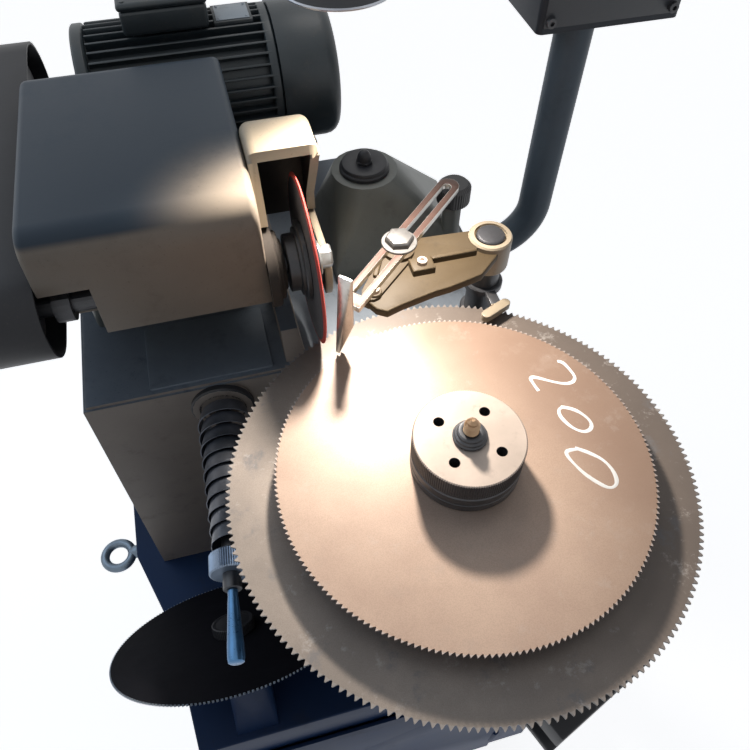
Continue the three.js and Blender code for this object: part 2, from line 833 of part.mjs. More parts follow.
// Motor bracket on the back of the housing
function motorBracket() {
  const back = headFront + headDepth;
  const seat = motorZ - motorRadius - finHeight - footHeight * 0.4;
  const shelf = block(footLength * 1.3, motorY + motorRadius - back, footHeight)
    .translate(-motorLeft + motorLength / 2, (back + motorY + motorRadius) / 2 + gap / 2, seat - footHeight - gap);
  const flange = block(footLength * 1.3, footHeight, headHeight * 0.6)
    .translate(-motorLeft + motorLength / 2, back + footHeight / 2 + gap, seat - footHeight - gap);
  return join(shelf, flange);
}
piece(work, 'motor_bracket', motorBracket(), 'cream');

// Belt round both pulleys, and the cover over it
const driveSpan = Math.hypot(motorY - spindleY, motorZ - spindleZ);
const driveTilt = Math.atan2(motorZ - spindleZ, motorY - spindleY);

// Outline round two circles, the first at the origin and the second at driveSpan along +x
function beltOutline(first, second) {
  const lean = Math.acos((first - second) / driveSpan);
  const shape = new THREE.Shape();
  shape.absarc(0, 0, first, lean, Math.PI * 2 - lean);
  shape.absarc(driveSpan, 0, second, -lean, lean);
  return shape;
}

// Stands a drive outline in the belt's plane, with its first circle on the spindle
function inBeltPlane(geometry, x) {
  return geometry.rotateZ(driveTilt).rotateX(Math.PI / 2).rotateZ(Math.PI / 2).translate(x, spindleY, spindleZ);
}

function driveBelt() {
  const groove = beltThickness * 1.1;
  const inner = spindlePulleyRadius - groove + boreClearance;
  const innerMotor = motorPulleyRadius - groove + boreClearance;
  const outer = beltOutline(inner + beltThickness, innerMotor + beltThickness);
  outer.holes.push(new THREE.Path(beltOutline(inner, innerMotor).getPoints(7).reverse()));
  return inBeltPlane(slab(outer, beltWidth * 0.8, 7), pulleyX + (pulleyWidth - beltWidth * 0.8) / 2);
}

function beltCover() {
  const outer = [spindlePulleyRadius + beltCoverMargin, motorPulleyRadius + beltCoverMargin];
  const shell = slab(beltOutline(...outer), beltCoverWidth, 8);
  const room = slab(beltOutline(outer[0] - beltCoverWall, outer[1] - beltCoverWall), beltCoverWidth, 8)
    .translate(0, 0, beltCoverWall);
  return inBeltPlane(cut(shell, room), headLeft - beltCoverWidth - gap);
}
piece(work, 'drive_belt', driveBelt(), 'black');
piece(work, 'belt_cover', beltCover(), 'black');

// Wheel guard: a cast hood, open at the front and below, long on the side of the head
function wheelGuard() {
  const backInner = spindleY + wheelRadius + guardBackClearance;
  const back = backInner + guardWall;
  const roof = guardTop - guardWall;
  const hood = new THREE.Shape();
  hood.moveTo(guardFront, guardTop);
  hood.lineTo(guardFront - guardWall * 0.4, roof);
  hood.lineTo(spindleY + guardWall * 0.5, spindleZ + innerFlangeRadius + overrun);
  hood.lineTo(backInner, guardLow);
  hood.lineTo(back, guardLow);
  hood.lineTo(back, guardTop - guardRound);
  hood.absarc(back - guardRound, guardTop - guardRound, guardRound, 0, Math.PI / 2);
  const body = slab(hood, guardWidth, 6);
  const inside = new THREE.Shape();
  inside.moveTo(guardFront - overrun * 8, roof);
  inside.lineTo(guardFront - overrun * 8, guardLow - overrun);
  inside.lineTo(backInner, guardLow - overrun);
  inside.lineTo(backInner, roof - guardRound * 0.6);
  inside.absarc(backInner - guardRound * 0.6, roof - guardRound * 0.6, guardRound * 0.6, 0, Math.PI / 2);
  const room = slab(inside, guardWidth - guardWall * 2, 6).translate(0, 0, guardWall);
  const scoopShape = outline([
    [guardFront - overrun * 8, roof], [guardFront, roof - guardWall * 0.5],
    [guardFront + guardWall * 2, roof - guardWall * 4], [backInner - guardWall * 1.5, spindleZ + guardWall * 2],
    [backInner - guardWall * 1.5, guardLow - overrun], [guardFront - overrun * 8, guardLow - overrun],
  ]);
  const scoop = slab(scoopShape, guardWall * 2).translate(0, 0, guardWidth - guardWall * 1.5);
  return cut(body, room, scoop);
}
piece(work, 'wheel_guard', wheelGuard().rotateX(Math.PI / 2).rotateZ(Math.PI / 2), 'cream', -headRight + gap);

// Radial guide, carriage and knee, all turned to the direction from the wheel to the arbor
const guideGroup = new THREE.Group();
guideGroup.rotation.z = rad(guideTurn);
work.add(guideGroup);
const guideTop = -guideDrop;

function radialGuide() {
  const length = guideFront + guideBack;
  const body = block(length, guideWidth, guideHeight)
    .translate((guideFront - guideBack) / 2, 0, guideTop - guideHeight);
  const groove = block(length + overrun * 2, grooveWidth, grooveDepth + overrun)
    .translate((guideFront - guideBack) / 2, 0, guideTop - grooveDepth);
  const flutes = [-1, 1].map((side) => block(length + overrun * 2, guideWidth * 0.16, guideHeight * 0.4)
    .translate((guideFront - guideBack) / 2, side * guideWidth * 0.5, guideTop - guideHeight * 0.85));
  return cut(body, groove, ...flutes);
}

function bladeCarriage() {
  const body = block(carriageLength, carriageWidth, carriageHeight).translate(0, 0, guideTop + gap);
  const housing = rod(arborHousingRadius, -lowerFlangeHeight - shoulderHeight - bladeThickness / 2 - gap * 3
    - (guideTop + gap + carriageHeight - overrun), 40)
    .translate(0, 0, guideTop + gap + carriageHeight - overrun);
  const tongue = block(carriageLength, grooveWidth - gap * 2, grooveDepth)
    .translate(0, 0, guideTop + gap * 2 - grooveDepth + gap);
  const bore = rod(arborRadius + boreClearance, -guideTop, 32).translate(0, 0, guideTop + arborFloor);
  return cut(join(body, housing, tongue), bore);
}

function slideKnee() {
  return hull(
    rectRing(-kneeBack, kneeTopFront, -kneeTopWidth / 2, kneeTopWidth / 2, guideTop - guideHeight - gap),
    rectRing(-kneeBack, kneeBottomFront, -kneeBottomWidth / 2, kneeBottomWidth / 2, baseTopZ + gap),
  );
}
piece(guideGroup, 'radial_guide', radialGuide(), 'darkSteel');
piece(guideGroup, 'blade_carriage', bladeCarriage(), 'darkSteel');
piece(guideGroup, 'slide_knee', slideKnee(), 'cream');

// Arbor stack, from below: shoulder, lower flange, large blade, spacer, index blade, collar, top flange
const arborGroup = new THREE.Group();
work.add(arborGroup);
const halfBlade = bladeThickness / 2;
const indexLow = halfBlade + spacerHeight;
const collarLow = indexLow + bladeThickness;
const topFlangeLow = collarLow + collarHeight;
const stackTop = topFlangeLow + topFlangeHeight;
const lowerFlangeLow = -halfBlade - lowerFlangeHeight;
const shoulderTop = lowerFlangeLow - gap;
piece(arborGroup, 'arbor', turned([
  [0, guideTop + arborFloor + gap], [arborRadius, guideTop + arborFloor + gap],
  [arborRadius, shoulderTop - shoulderHeight], [arborShoulder, shoulderTop - shoulderHeight],
  [arborShoulder, shoulderTop], [bladeBore - gap, shoulderTop], [bladeBore - gap, stackTop - gap * 2],
  [studRadius, stackTop - gap * 2], [studRadius, stackTop + studHeight - studTip],
  [studRadius * 0.2, stackTop + studHeight], [0, stackTop + studHeight],
], 24), 'steel');
piece(arborGroup, 'lower_flange', ring(lowerFlangeRadius, bladeBore, lowerFlangeHeight, 32), 'darkSteel',
  0, 0, lowerFlangeLow);
piece(arborGroup, 'large_blade', toothedDisc(largeRadius, largeTeeth, 2), 'blade', 0, 0, -halfBlade);
piece(arborGroup, 'blade_spacer', ring(spacerRadius, bladeBore, spacerHeight), 'steel', 0, 0, halfBlade);
piece(arborGroup, 'index_blade', toothedDisc(indexRadius, indexTeeth, 2), 'blade', 0, 0, indexLow);
piece(arborGroup, 'clamp_collar',
  ring(flangeRadius, bladeBore, collarHeight, 32), 'darkSteel', 0, 0, collarLow);

function topFlange() {
  const holes = Array.from({ length: flangeHoles }, (_, i) => {
    const a = rad(45) + (i / flangeHoles) * Math.PI * 2;
    return rod(flangeHoleRadius, topFlangeHeight + overrun * 2, 10)
      .translate(flangeHoleCircle * Math.cos(a), flangeHoleCircle * Math.sin(a), -overrun);
  });
  return cut(knurledRing(flangeRadius, bladeBore, topFlangeHeight), ...holes);
}
piece(arborGroup, 'top_flange', topFlange(), 'darkSteel', 0, 0, topFlangeLow);
piece(arborGroup, 'clamp_nut', cut(
  join(rod(bladeBore + overrun, nutHeight * 0.35, 32), hexagon(nutFlats, nutHeight)),
  rod(studRadius + gap, nutHeight * 3, 24).translate(0, 0, -nutHeight),
), 'steel', 0, 0, stackTop);

// Feed housing: a tapered casting with a round top, a flat cap and a dome nut
function feedHousing() {
  const low = bedTopZ + gap;
  const top = bedTopZ + feedHeight;
  const body = hull(
    rectRing(feedX - feedLeft, feedX + feedRight, feedY - feedFront, feedY + feedBack, low),
    rectRing(feedX - feedLeft, feedX + feedRight, feedY - feedFront, feedY + feedBack, low + feedSkirt * 0.5),
    circleRing(feedX, feedY, top, feedTopRadius),
  );
  const knobBoss = rod(knobPostRadius, knobPost, 20).translate(knobX, knobY, low);
  return join(body, knobBoss);
}
piece(work, 'feed_housing', feedHousing(), 'castGreen');
function feedCap() {
  const cap = turned([
    [0, 0], [capRadius, 0], [capRadius, capHeight * 0.7], [capRadius * 0.9, capHeight], [0, capHeight],
  ], 32);
  const dome = turned([
    [0, capHeight * 0.5], [domeRadius, capHeight * 0.5], [domeRadius, capHeight + domeHeight * 0.5],
    [domeRadius * 0.72, capHeight + domeHeight * 0.85], [0, capHeight + domeHeight],
  ], 16);
  return join(cap, dome);
}
piece(work, 'feed_cap', feedCap(), 'black', feedX, feedY, bedTopZ + feedHeight);
piece(work, 'stroke_knob', knurledRing(knobRadius, 0, knobHeight), 'black',
  knobX, knobY, bedTopZ + gap * 2 + knobPost);

// Pivot post on the bed, and the rocking lever on it
const leverLow = leverTop - leverThickness;
const armTop = leverTop - pinCapHeight - gap;
const bossLow = leverTop - gap - pinCapHeight - bossHeight;
piece(work, 'pivot_post', turned([
  [0, 0], [postFoot, 0], [postFoot, postFootHeight], [postRadius, postFootHeight],
  [postRadius, bossLow - gap - bedTopZ], [postRadius * 0.7, bossLow - gap - bedTopZ],
  [postRadius * 0.7, leverTop - pinCapHeight - gap * 2 - bedTopZ],
  [0, leverTop - pinCapHeight - gap * 2 - bedTopZ],
], 24), 'darkSteel', postX, postY, bedTopZ);

const leverGroup = new THREE.Group();
leverGroup.position.set(postX, postY, 0);
work.add(leverGroup);
const clampDX = clampX - postX;
const clampDY = clampY - postY;

function feedLever() {
  const arm = hull(
    circleRing(clampDX, clampDY, leverLow, clampBossRadius, 16),
    circleRing(clampDX, clampDY, armTop, clampBossRadius, 16),
    circleRing(0, 0, leverLow, webWidth / 2, 16), circleRing(0, 0, armTop, webWidth / 2, 16),
  );
  const nearArm = hull(
    circleRing(clampDX, clampDY, leverLow, clampBossRadius, 16),
    circleRing(clampDX, clampDY, armTop, clampBossRadius, 16),
    circleRing(clampDX - clampBossRadius * 2.6, clampDY - clampBossRadius * 3, leverLow, lugRadius, 12),
    circleRing(clampDX - clampBossRadius * 2.6, clampDY - clampBossRadius * 3, armTop, lugRadius, 12),
  );
  const boss = rod(bossRadius, bossHeight, 32).translate(0, 0, bossLow);
  const clampBoss = rod(clampBossRadius, leverThickness, 24).translate(clampDX, clampDY, leverLow);
  const bore = rod(postRadius * 0.7 + boreClearance, bossHeight * 3, 32).translate(0, 0, bossLow - bossHeight);
  return cut(join(arm, nearArm, boss, clampBoss), bore);
}
piece(leverGroup, 'feed_lever', feedLever(), 'cream');
piece(leverGroup, 'pivot_cap', turned([
  [0, 0], [pinCapRadius, 0], [pinCapRadius, pinCapHeight * 0.6], [pinCapRadius * 0.8, pinCapHeight],
  [0, pinCapHeight],
], 32), 'darkSteel', 0, 0, bossLow + bossHeight);

// Slotted bar, its clamp bolt and the pawl at its near end
const barGroup = new THREE.Group();
barGroup.position.set(clampDX, clampDY, leverTop + gap);
barGroup.rotation.z = rad(barTurn);
leverGroup.add(barGroup);

function slottedBar() {
  const shape = new THREE.Shape();
  const half = barWidth / 2;
  shape.moveTo(-barNear, -half);
  shape.lineTo(barFar - half, -half);
  shape.absarc(barFar - half, 0, half, -Math.PI / 2, Math.PI / 2);
  shape.lineTo(-barNear, half);
  const slot = new THREE.Path();
  const s = barSlot / 2;
  slot.moveTo(-barNear + barSlotMargin, -s);
  slot.lineTo(-barNear + barSlotMargin, s);
  slot.lineTo(barFar - barSlotMargin, s);
  slot.absarc(barFar - barSlotMargin, 0, s, Math.PI / 2, -Math.PI / 2, true);
  shape.holes.push(slot);
  return slab(shape, barThickness, 8);
}
piece(barGroup, 'slotted_bar', slottedBar(), 'copper');
piece(barGroup, 'bar_bolt', join(
  rod(barSlot / 2 - gap * 2, barThickness + barBoltHead),
  rod(barWasherRadius, barWasherThickness).translate(0, 0, barThickness + gap),
  hexagon(barBoltFlats, barBoltHead).translate(0, 0, barThickness + gap),
), 'steel');

const tipRadius = indexRadius + pawlClearance;
const tipX = tipRadius * Math.cos(rad(pawlAngle)) - postX;
const tipY = tipRadius * Math.sin(rad(pawlAngle)) - postY;
function pawlFinger() {
  const c = Math.cos(rad(barTurn));
  const s = Math.sin(rad(barTurn));
  const headX = clampDX - (barNear + gap + pawlThickness) * c;
  const headY = clampDY - (barNear + gap + pawlThickness) * s;
  const low = indexLow - pawlTipDrop;
  const high = leverTop + barThickness + pawlHead;
  const plateRing = (x, y, z, width) => [[-pawlThickness / 2, -width / 2], [pawlThickness / 2, -width / 2],
    [pawlThickness / 2, width / 2], [-pawlThickness / 2, width / 2]].map(([a, b]) =>
    [x + a * c - b * s, y + a * s + b * c, z]);
  return hull(
    plateRing(tipX - pawlThickness * c, tipY + pawlTipWidth / 2, low, pawlTipWidth),
    plateRing(headX, headY, leverLow, pawlWidth),
    plateRing(headX, headY, high, pawlWidth),
  );
}
piece(leverGroup, 'pawl_finger', pawlFinger(), 'steel');

// Blade steady: a short arm from the post over the large blade
function bladeSteady() {
  const bar = block(steadyLength, steadyWidth, steadyHeight).translate(steadyLength / 2, 0, 0);
  const clasp = rod(postRadius + overrun, steadyHeight, 24);
  const bore = rod(postRadius + gap, steadyHeight * 3, 32).translate(0, 0, -steadyHeight);
  return cut(join(bar, clasp), bore);
}
const steady = piece(work, 'blade_steady', bladeSteady(), 'cream', postX, postY, steadyRise);
steady.rotation.z = rad(steadyTurn);

// Control tube from the side of the bed up to the control box
function controlTube() {
  const low = -tubeDrop;
  const start = bedRight + gap;
  const path = new THREE.CurvePath();
  const bendStart = new THREE.Vector3(tubeX - tubeBend, tubeY, low);
  path.add(new THREE.LineCurve3(new THREE.Vector3(start, tubeY, low), bendStart));
  const steps = 6;
  let from = new THREE.Vector3(tubeX - tubeBend, tubeY, low);
  for (let i = 1; i <= steps; i += 1) {
    const a = (i / steps) * Math.PI / 2;
    const x = tubeX - tubeBend + tubeBend * Math.sin(a);
    const to = new THREE.Vector3(x, tubeY, low + tubeBend * (1 - Math.cos(a)));
    path.add(new THREE.LineCurve3(from, to));
    from = to;
  }
  path.add(new THREE.LineCurve3(from, new THREE.Vector3(tubeX, tubeY, tubeTop - gap)));
  const points = [];
  for (const curve of path.curves) points.push(curve.v1);
  points.push(path.curves[path.curves.length - 1].v2);
  return sweep(points, tubeRadius, 20);
}

// A round rod along a list of points: rings across the bisected direction at each one
function sweep(points, radius, sides) {
  const positions = [];
  const up = new THREE.Vector3(0, 1, 0);
  points.forEach((point, i) => {
    const before = points[Math.max(i - 1, 0)];
    const after = points[Math.min(i + 1, points.length - 1)];
    const along = after.clone().sub(before).normalize();
    const side = new THREE.Vector3().crossVectors(along, up).normalize();
    const other = new THREE.Vector3().crossVectors(side, along);
    for (let k = 0; k < sides; k += 1) {
      const a = (k / sides) * Math.PI * 2;
      const p = point.clone()
        .addScaledVector(side, radius * Math.cos(a))
        .addScaledVector(other, radius * Math.sin(a));
      positions.push(p.x, p.y, p.z);
    }
  });
  const faces = [];
  const last = (points.length - 1) * sides;
  for (let i = 0; i < points.length - 1; i += 1) {
    for (let k = 0; k < sides; k += 1) {
      const a = i * sides + k;
      const b = i * sides + ((k + 1) % sides);
      faces.push(a, a + sides, b, b, a + sides, b + sides);
    }
  }
  for (let k = 1; k < sides - 1; k += 1) {
    faces.push(0, k, k + 1);
    faces.push(last, last + k + 1, last + k);
  }
  const geometry = new THREE.BufferGeometry();
  geometry.setAttribute('position', new THREE.Float32BufferAttribute(positions, 3));
  geometry.setIndex(faces);
  geometry.computeVertexNormals();
  return geometry;
}
piece(work, 'control_tube', controlTube(), 'tubeBlue');

// Control box with its buttons, turning on the tube
const boxGroup = new THREE.Group();
boxGroup.position.set(tubeX, tubeY, tubeTop);
work.add(boxGroup);
const boxDX = boxLeft - tubeX;
const boxDY = boxFront - tubeY;

function controlBox() {
  const body = slab(roundedRect(boxWidth, boxDepth, boxRound), boxHeight)
    .translate(boxDX + boxWidth / 2, boxDY + boxDepth / 2, 0);
  const stemHole = (column, radius) => alongFront(rod(radius + boreClearance, boxDepth * 0.4 + overrun, 20))
    .translate(boxDX + column, boxDY + boxDepth * 0.4, buttonRow);
  return cut(body, stemHole(buttonColumn, buttonRadius), stemHole(stopColumn, stopStem));
}
piece(boxGroup, 'control_box', controlBox(), 'boxBlue');
piece(boxGroup, 'start_button', alongFront(rod(buttonRadius, buttonLength * 2, 20)), 'green',
  boxDX + buttonColumn, boxDY + buttonLength, buttonRow);
piece(boxGroup, 'emergency_stop', alongFront(turned([
  [0, 0], [stopStem, 0], [stopStem, stopLength + stopTravel + gap],
  [stopRadius, stopLength + stopTravel + overrun], [stopRadius, stopLength * 2],
  [stopRadius * 0.8, stopLength * 2.3], [0, stopLength * 2.4],
])), 'red', boxDX + stopColumn, boxDY + stopLength, buttonRow);

// Lamp: an arm from the side of the box and a shade with a hollow
function lampArm() {
  const start = new THREE.Vector3(boxDX - gap, boxDY + lampArmSetback, boxHeight - lampArmRise * 0.5);
  const bend = start.clone().add(new THREE.Vector3(-lampArmRadius * 2, 0, 0));
  const endHeight = lampRim - tubeTop + lampHeight + lampArmRadius + gap;
  const end = new THREE.Vector3(lampX - tubeX, lampY - tubeY, endHeight);
  const middle = bend.clone().lerp(end, 0.5).add(new THREE.Vector3(0, 0, lampArmRise));
  const curve = new THREE.QuadraticBezierCurve3(bend, middle, end);
  return sweep([start, start.clone().lerp(bend, 0.5), ...curve.getPoints(10)], lampArmRadius, 12);
}
// The shade's top is a half ball, so that it tilts under the arm's end
function lampShade() {
  const domeLow = lampHeight - lampNeck;
  const domeShares = [0.25, 0.5, 0.75];
  const dome = domeShares.map((share) => [
    lampNeck * Math.cos(share * Math.PI / 2), domeLow + lampNeck * Math.sin(share * Math.PI / 2),
  ]);
  return turned([
    [0, lampHeight * 0.56], [lampNeck - lampWall, lampHeight * 0.56],
    [lampRadius - lampWall, lampHeight * 0.18], [lampRadius - lampWall, 0], [lampRadius, 0],
    [lampRadius, lampHeight * 0.2], [lampNeck, lampHeight * 0.6], [lampNeck, domeLow], ...dome, [0, lampHeight],
  ]);
}
piece(boxGroup, 'lamp_arm', lampArm(), 'black');
piece(boxGroup, 'lamp_shade', lampShade(), 'castGreen', lampX - tubeX, lampY - tubeY, lampRim - tubeTop);

// Eye bolt at the left of the base, and the spare blade on its sloping rest
function eyeBolt() {
  const eye = new THREE.TorusGeometry(eyeRadius, eyeThickness, 6, 18);
  const shank = alongX(rod(eyeShankRadius, eyeShank, 16)).translate(eyeRadius, 0, 0);
  return join(eye, shank);
}
piece(work, 'eye_bolt', eyeBolt(), 'steel',
  -halfWidth - arborX - gap - eyeShank - eyeRadius, eyeY, baseTopZ - eyeDrop);

const restGroup = new THREE.Group();
restGroup.position.set(spareX, spareY, baseTopZ + spareRise);
restGroup.rotation.x = rad(-spareTilt);
work.add(restGroup);

// Wedge on the base top, with a round seat and a stud square to the blade
function bladeRest() {
  restGroup.updateMatrix();
  const toLocal = restGroup.matrix.clone().invert();
  const foot = rectRing(spareX - restPostWidth / 2, spareX + restPostWidth / 2,
    -halfDepth - arborY + restFootInset, -halfDepth - arborY + restFootInset + restFootDepth, baseTopZ + gap)
    .map((p) => new THREE.Vector3(...p).applyMatrix4(toLocal).toArray());
  const wedge = hull(foot, circleRing(0, 0, -restFlangeThickness, restRadius),
    circleRing(0, 0, -restFlangeThickness * 2, restRadius));
  const seat = rod(restFlange, restFlangeThickness, 32).translate(0, 0, -restFlangeThickness - gap);
  const stud = rod(restRadius, restFlangeThickness + bladeThickness + spareNutHeight, 32)
    .translate(0, 0, -restFlangeThickness);
  return join(wedge, seat, stud);
}
piece(restGroup, 'blade_rest', bladeRest(), 'darkSteel');
piece(restGroup, 'spare_blade', toothedDisc(spareRadius, spareTeeth, 2), 'darkSteel');
piece(restGroup, 'spare_blade_nut', knurledRing(spareNutRadius, restRadius + gap, spareNutHeight), 'darkSteel',
  0, 0, bladeThickness + gap);

export default machine;
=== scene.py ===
import math
import bpy
from mathutils import Matrix, Vector


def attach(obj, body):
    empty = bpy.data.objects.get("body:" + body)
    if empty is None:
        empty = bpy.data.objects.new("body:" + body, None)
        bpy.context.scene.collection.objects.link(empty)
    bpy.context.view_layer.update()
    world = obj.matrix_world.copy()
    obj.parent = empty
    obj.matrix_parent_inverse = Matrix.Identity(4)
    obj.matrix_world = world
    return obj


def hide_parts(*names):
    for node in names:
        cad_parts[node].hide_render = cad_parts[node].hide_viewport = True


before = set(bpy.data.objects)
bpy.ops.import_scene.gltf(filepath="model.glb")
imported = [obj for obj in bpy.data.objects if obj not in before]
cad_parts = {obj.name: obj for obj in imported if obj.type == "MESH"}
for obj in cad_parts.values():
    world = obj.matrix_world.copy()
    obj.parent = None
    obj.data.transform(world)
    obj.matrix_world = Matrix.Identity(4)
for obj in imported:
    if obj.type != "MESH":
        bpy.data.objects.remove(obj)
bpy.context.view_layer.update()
print("frame loaded,", len(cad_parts), "solids")

mm = 0.001
bladeCentre = Vector((0.079, -0.230, 1.0))  # centre of the large blade; places are millimetres from it
origin = Vector((0, 0, 0))
alongX = (0, 90, 0)
toFront = (90, 0, 0)


def at(x, y, z):
    return bladeCentre + Vector((x, y, z)) * mm


def inRadians(turn):
    return [math.radians(angle) for angle in turn]


# Selecting, placing and joining

def pickOnly(*pieces):
    bpy.ops.object.select_all(action="DESELECT")
    for piece in pieces:
        piece.select_set(True)
    bpy.context.view_layer.objects.active = pieces[0]


def applyPlace():
    bpy.ops.object.transform_apply(location=True, rotation=True, scale=True)


def settle(piece, place=origin, turn=(0, 0, 0)):
    pickOnly(piece)
    applyPlace()
    piece.rotation_euler = inRadians(turn)
    piece.location = place
    applyPlace()
    return piece


def joinPieces(name, *pieces):
    pickOnly(*pieces)
    if len(pieces) > 1:
        bpy.ops.object.join()
    pieces[0].name = name
    applyPlace()
    return pieces[0]


def copyPiece(piece, move):
    extra = piece.copy()
    extra.data = piece.data.copy()
    bpy.context.scene.collection.objects.link(extra)
    extra.data.transform(move)
    return extra


def copiesRound(piece, count, centre, axis):
    toCentre, back = Matrix.Translation(-centre), Matrix.Translation(centre)
    turns = [Matrix.Rotation(math.tau * i / count, 4, axis) for i in range(1, count)]
    return joinPieces(piece.name, piece, *[copyPiece(piece, back @ turn @ toCentre) for turn in turns])


def copiesAt(piece, places):
    moves = [Matrix.Translation(Vector(place) * mm) for place in places]
    return joinPieces(piece.name, piece, *[copyPiece(piece, move) for move in moves])


def closeMesh(piece):
    bpy.ops.object.mode_set(mode="OBJECT")
    return piece


def openMesh(piece, kind="VERT", test=None):  # edit mode, with all or what passes the test selected
    pickOnly(piece)
    bpy.ops.object.mode_set(mode="EDIT")
    bpy.ops.mesh.select_mode(type=kind)
    bpy.ops.mesh.select_all(action="DESELECT" if test else "SELECT")
    if test:
        mesh = closeMesh(piece).data
        for part in {"VERT": mesh.vertices, "EDGE": mesh.edges, "FACE": mesh.polygons}[kind]:
            part.select = test(part)
        bpy.ops.object.mode_set(mode="EDIT")


def roundEdges(piece, width, segments, test):  # rounds the edges whose two ends pass the test
    places = [(vertex.co - bladeCentre) / mm for vertex in piece.data.vertices]
    openMesh(piece, "EDGE", lambda edge: test(*[places[i] for i in edge.vertices]))
    bpy.ops.mesh.bevel(offset=width * mm, segments=segments, affect="EDGES")
    return closeMesh(piece)


def addFinishes(piece, *finishes):
    piece.data.materials.clear()
    for finish in finishes:
        piece.data.materials.append(finish)


def twoFinishes(piece, first, second, test):  # the second finish on the faces that pass the test
    addFinishes(piece, first, second)
    for face in piece.data.polygons:
        face.material_index = int(test(face))
    return piece


def faceOutwards(piece):
    openMesh(piece)
    bpy.ops.mesh.remove_doubles(threshold=1e-6)
    bpy.ops.mesh.normals_make_consistent(inside=False)
    return closeMesh(piece)


def useModifier(piece, kind, **settings):
    pickOnly(piece)
    step = piece.modifiers.new(kind.lower(), kind)
    for key, value in settings.items():
        setattr(step, key, value)
    bpy.ops.object.modifier_apply(modifier=step.name)
    return piece


def softenEdges(piece, width=0, segments=2, sharp=32, smooth=35):
    if width:
        useModifier(piece, "BEVEL", width=width * mm, segments=segments, limit_method="ANGLE",
                    angle_limit=math.radians(sharp))
    pickOnly(piece)
    bpy.ops.object.shade_smooth_by_angle(angle=math.radians(smooth))
    return piece


def carve(piece, *tools):
    for tool in tools:
        useModifier(piece, "BOOLEAN", operation="DIFFERENCE", object=tool, solver="EXACT")
        bpy.data.objects.remove(tool)
    return piece


# Basic forms, in millimetres from the blade's centre

def startPiece(name, primitive, **size):
    bpy.ops.object.select_all(action="DESELECT")
    primitive(**size)
    piece = bpy.context.active_object
    piece.name = name
    return piece


def resizeRing(share, height=0):
    bpy.ops.transform.resize(value=(share, share, 1), center_override=(0, 0, height * mm))


def growRing(rise, share=1, height=0):  # extrudes what is selected and draws it in or out round the axis
    bpy.ops.mesh.extrude_region_move(TRANSFORM_OT_translate={"value": (0, 0, rise * mm)})
    resizeRing(share, height)


def boxPiece(name, low, high):
    piece = startPiece(name, bpy.ops.mesh.primitive_cube_add, size=1)
    piece.scale = [(b - a) * mm for a, b in zip(low, high)]
    return settle(piece, at(*[(a + b) / 2 for a, b in zip(low, high)]))


def platePiece(name, corners, low, high, place=bladeCentre, turn=(0, 0, 0)):  # corners counted round
    piece = startPiece(name, bpy.ops.mesh.primitive_circle_add, vertices=len(corners), radius=mm,
                       fill_type="NGON")
    for i, corner in enumerate(corners):
        start = piece.data.vertices[i].co.copy()
        openMesh(piece, "VERT", lambda vertex: vertex.index == i)
        bpy.ops.transform.translate(value=Vector((*corner, low)) * mm - start)
        closeMesh(piece)
    openMesh(piece, "FACE")
    growRing(high - low)
    return settle(faceOutwards(closeMesh(piece)), place, turn)


def turnedPiece(name, profile, place=origin, turn=(0, 0, 0), sides=64):
    radius, height = profile[0]
    hollow = profile[-1] == profile[0]  # a profile that ends where it starts is a ring
    piece = startPiece(name, bpy.ops.mesh.primitive_circle_add, vertices=sides, radius=radius * mm,
                       fill_type="NOTHING" if hollow else "NGON")
    openMesh(piece, "EDGE" if hollow else "FACE")
    bpy.ops.transform.translate(value=(0, 0, height * mm))
    for nextRadius, nextHeight in profile[1:]:
        growRing(nextHeight - height, nextRadius / radius, nextHeight)
        radius, height = nextRadius, nextHeight
    return settle(faceOutwards(closeMesh(piece)), place, turn)


def tubePiece(name, points, radius, sides, kind="POLY", pressure=0):
    path = bpy.data.curves.new(name, "CURVE")
    path.dimensions = "3D"
    path.bevel_depth = radius * mm
    path.bevel_resolution = sides
    path.resolution_u = 8
    path.use_fill_caps = True
    line = path.splines.new(kind)
    line.points.add(len(points) - 1)
    for i, (knot, point) in enumerate(zip(line.points, points)):
        knot.co = (*at(*point), 1)
        knot.radius = 1 + pressure * math.sin(i * 1.9)
    line.order_u = 3
    line.use_endpoint_u = True
    piece = bpy.data.objects.new(name, path)
    bpy.context.scene.collection.objects.link(piece)
    pickOnly(piece)
    bpy.ops.object.convert(target="MESH")
    return faceOutwards(bpy.context.active_object)


def pieceName(node):
    first, *others = node.split("_")
    return first + "".join(word.title() for word in others)


def fromSolid(node, width, segments, smooth=35):  # a merged copy of a CAD solid with soft edges
    piece = copyPiece(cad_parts[node], Matrix.Identity(4))
    piece.name = pieceName(node)
    piece.data.materials.clear()
    pickOnly(piece)
    bpy.ops.mesh.customdata_custom_splitnormals_clear()
    openMesh(piece)
    bpy.ops.mesh.remove_doubles(threshold=2e-6)
    bpy.ops.mesh.dissolve_limited(angle_limit=math.radians(0.6))
    bpy.ops.mesh.normals_make_consistent(inside=False)
    return softenEdges(closeMesh(piece), width, segments, smooth=smooth)


def seat(piece, body, slot, finish, *solids):  # rides on a body, takes a finish, stands for its solids
    if finish:  # a piece with two finishes has them already
        addFinishes(piece, finish)
    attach(piece, body)
    if solids:
        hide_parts(*solids)
    return piece


def seatSolid(node, width, segments, body, slot, finish, smooth=35):
    return seat(fromSolid(node, width, segments, smooth), body, slot, finish, node)


def seatTurned(node, body, slot, finish, profile, place, turn=(0, 0, 0), width=0, smooth=35, **form):
    piece = turnedPiece(pieceName(node), profile, place, turn, **form)
    return seat(softenEdges(piece, width, smooth=smooth), body, slot, finish, node)


# Finishes: a socket that counts like a number, and a finish that makes nodes

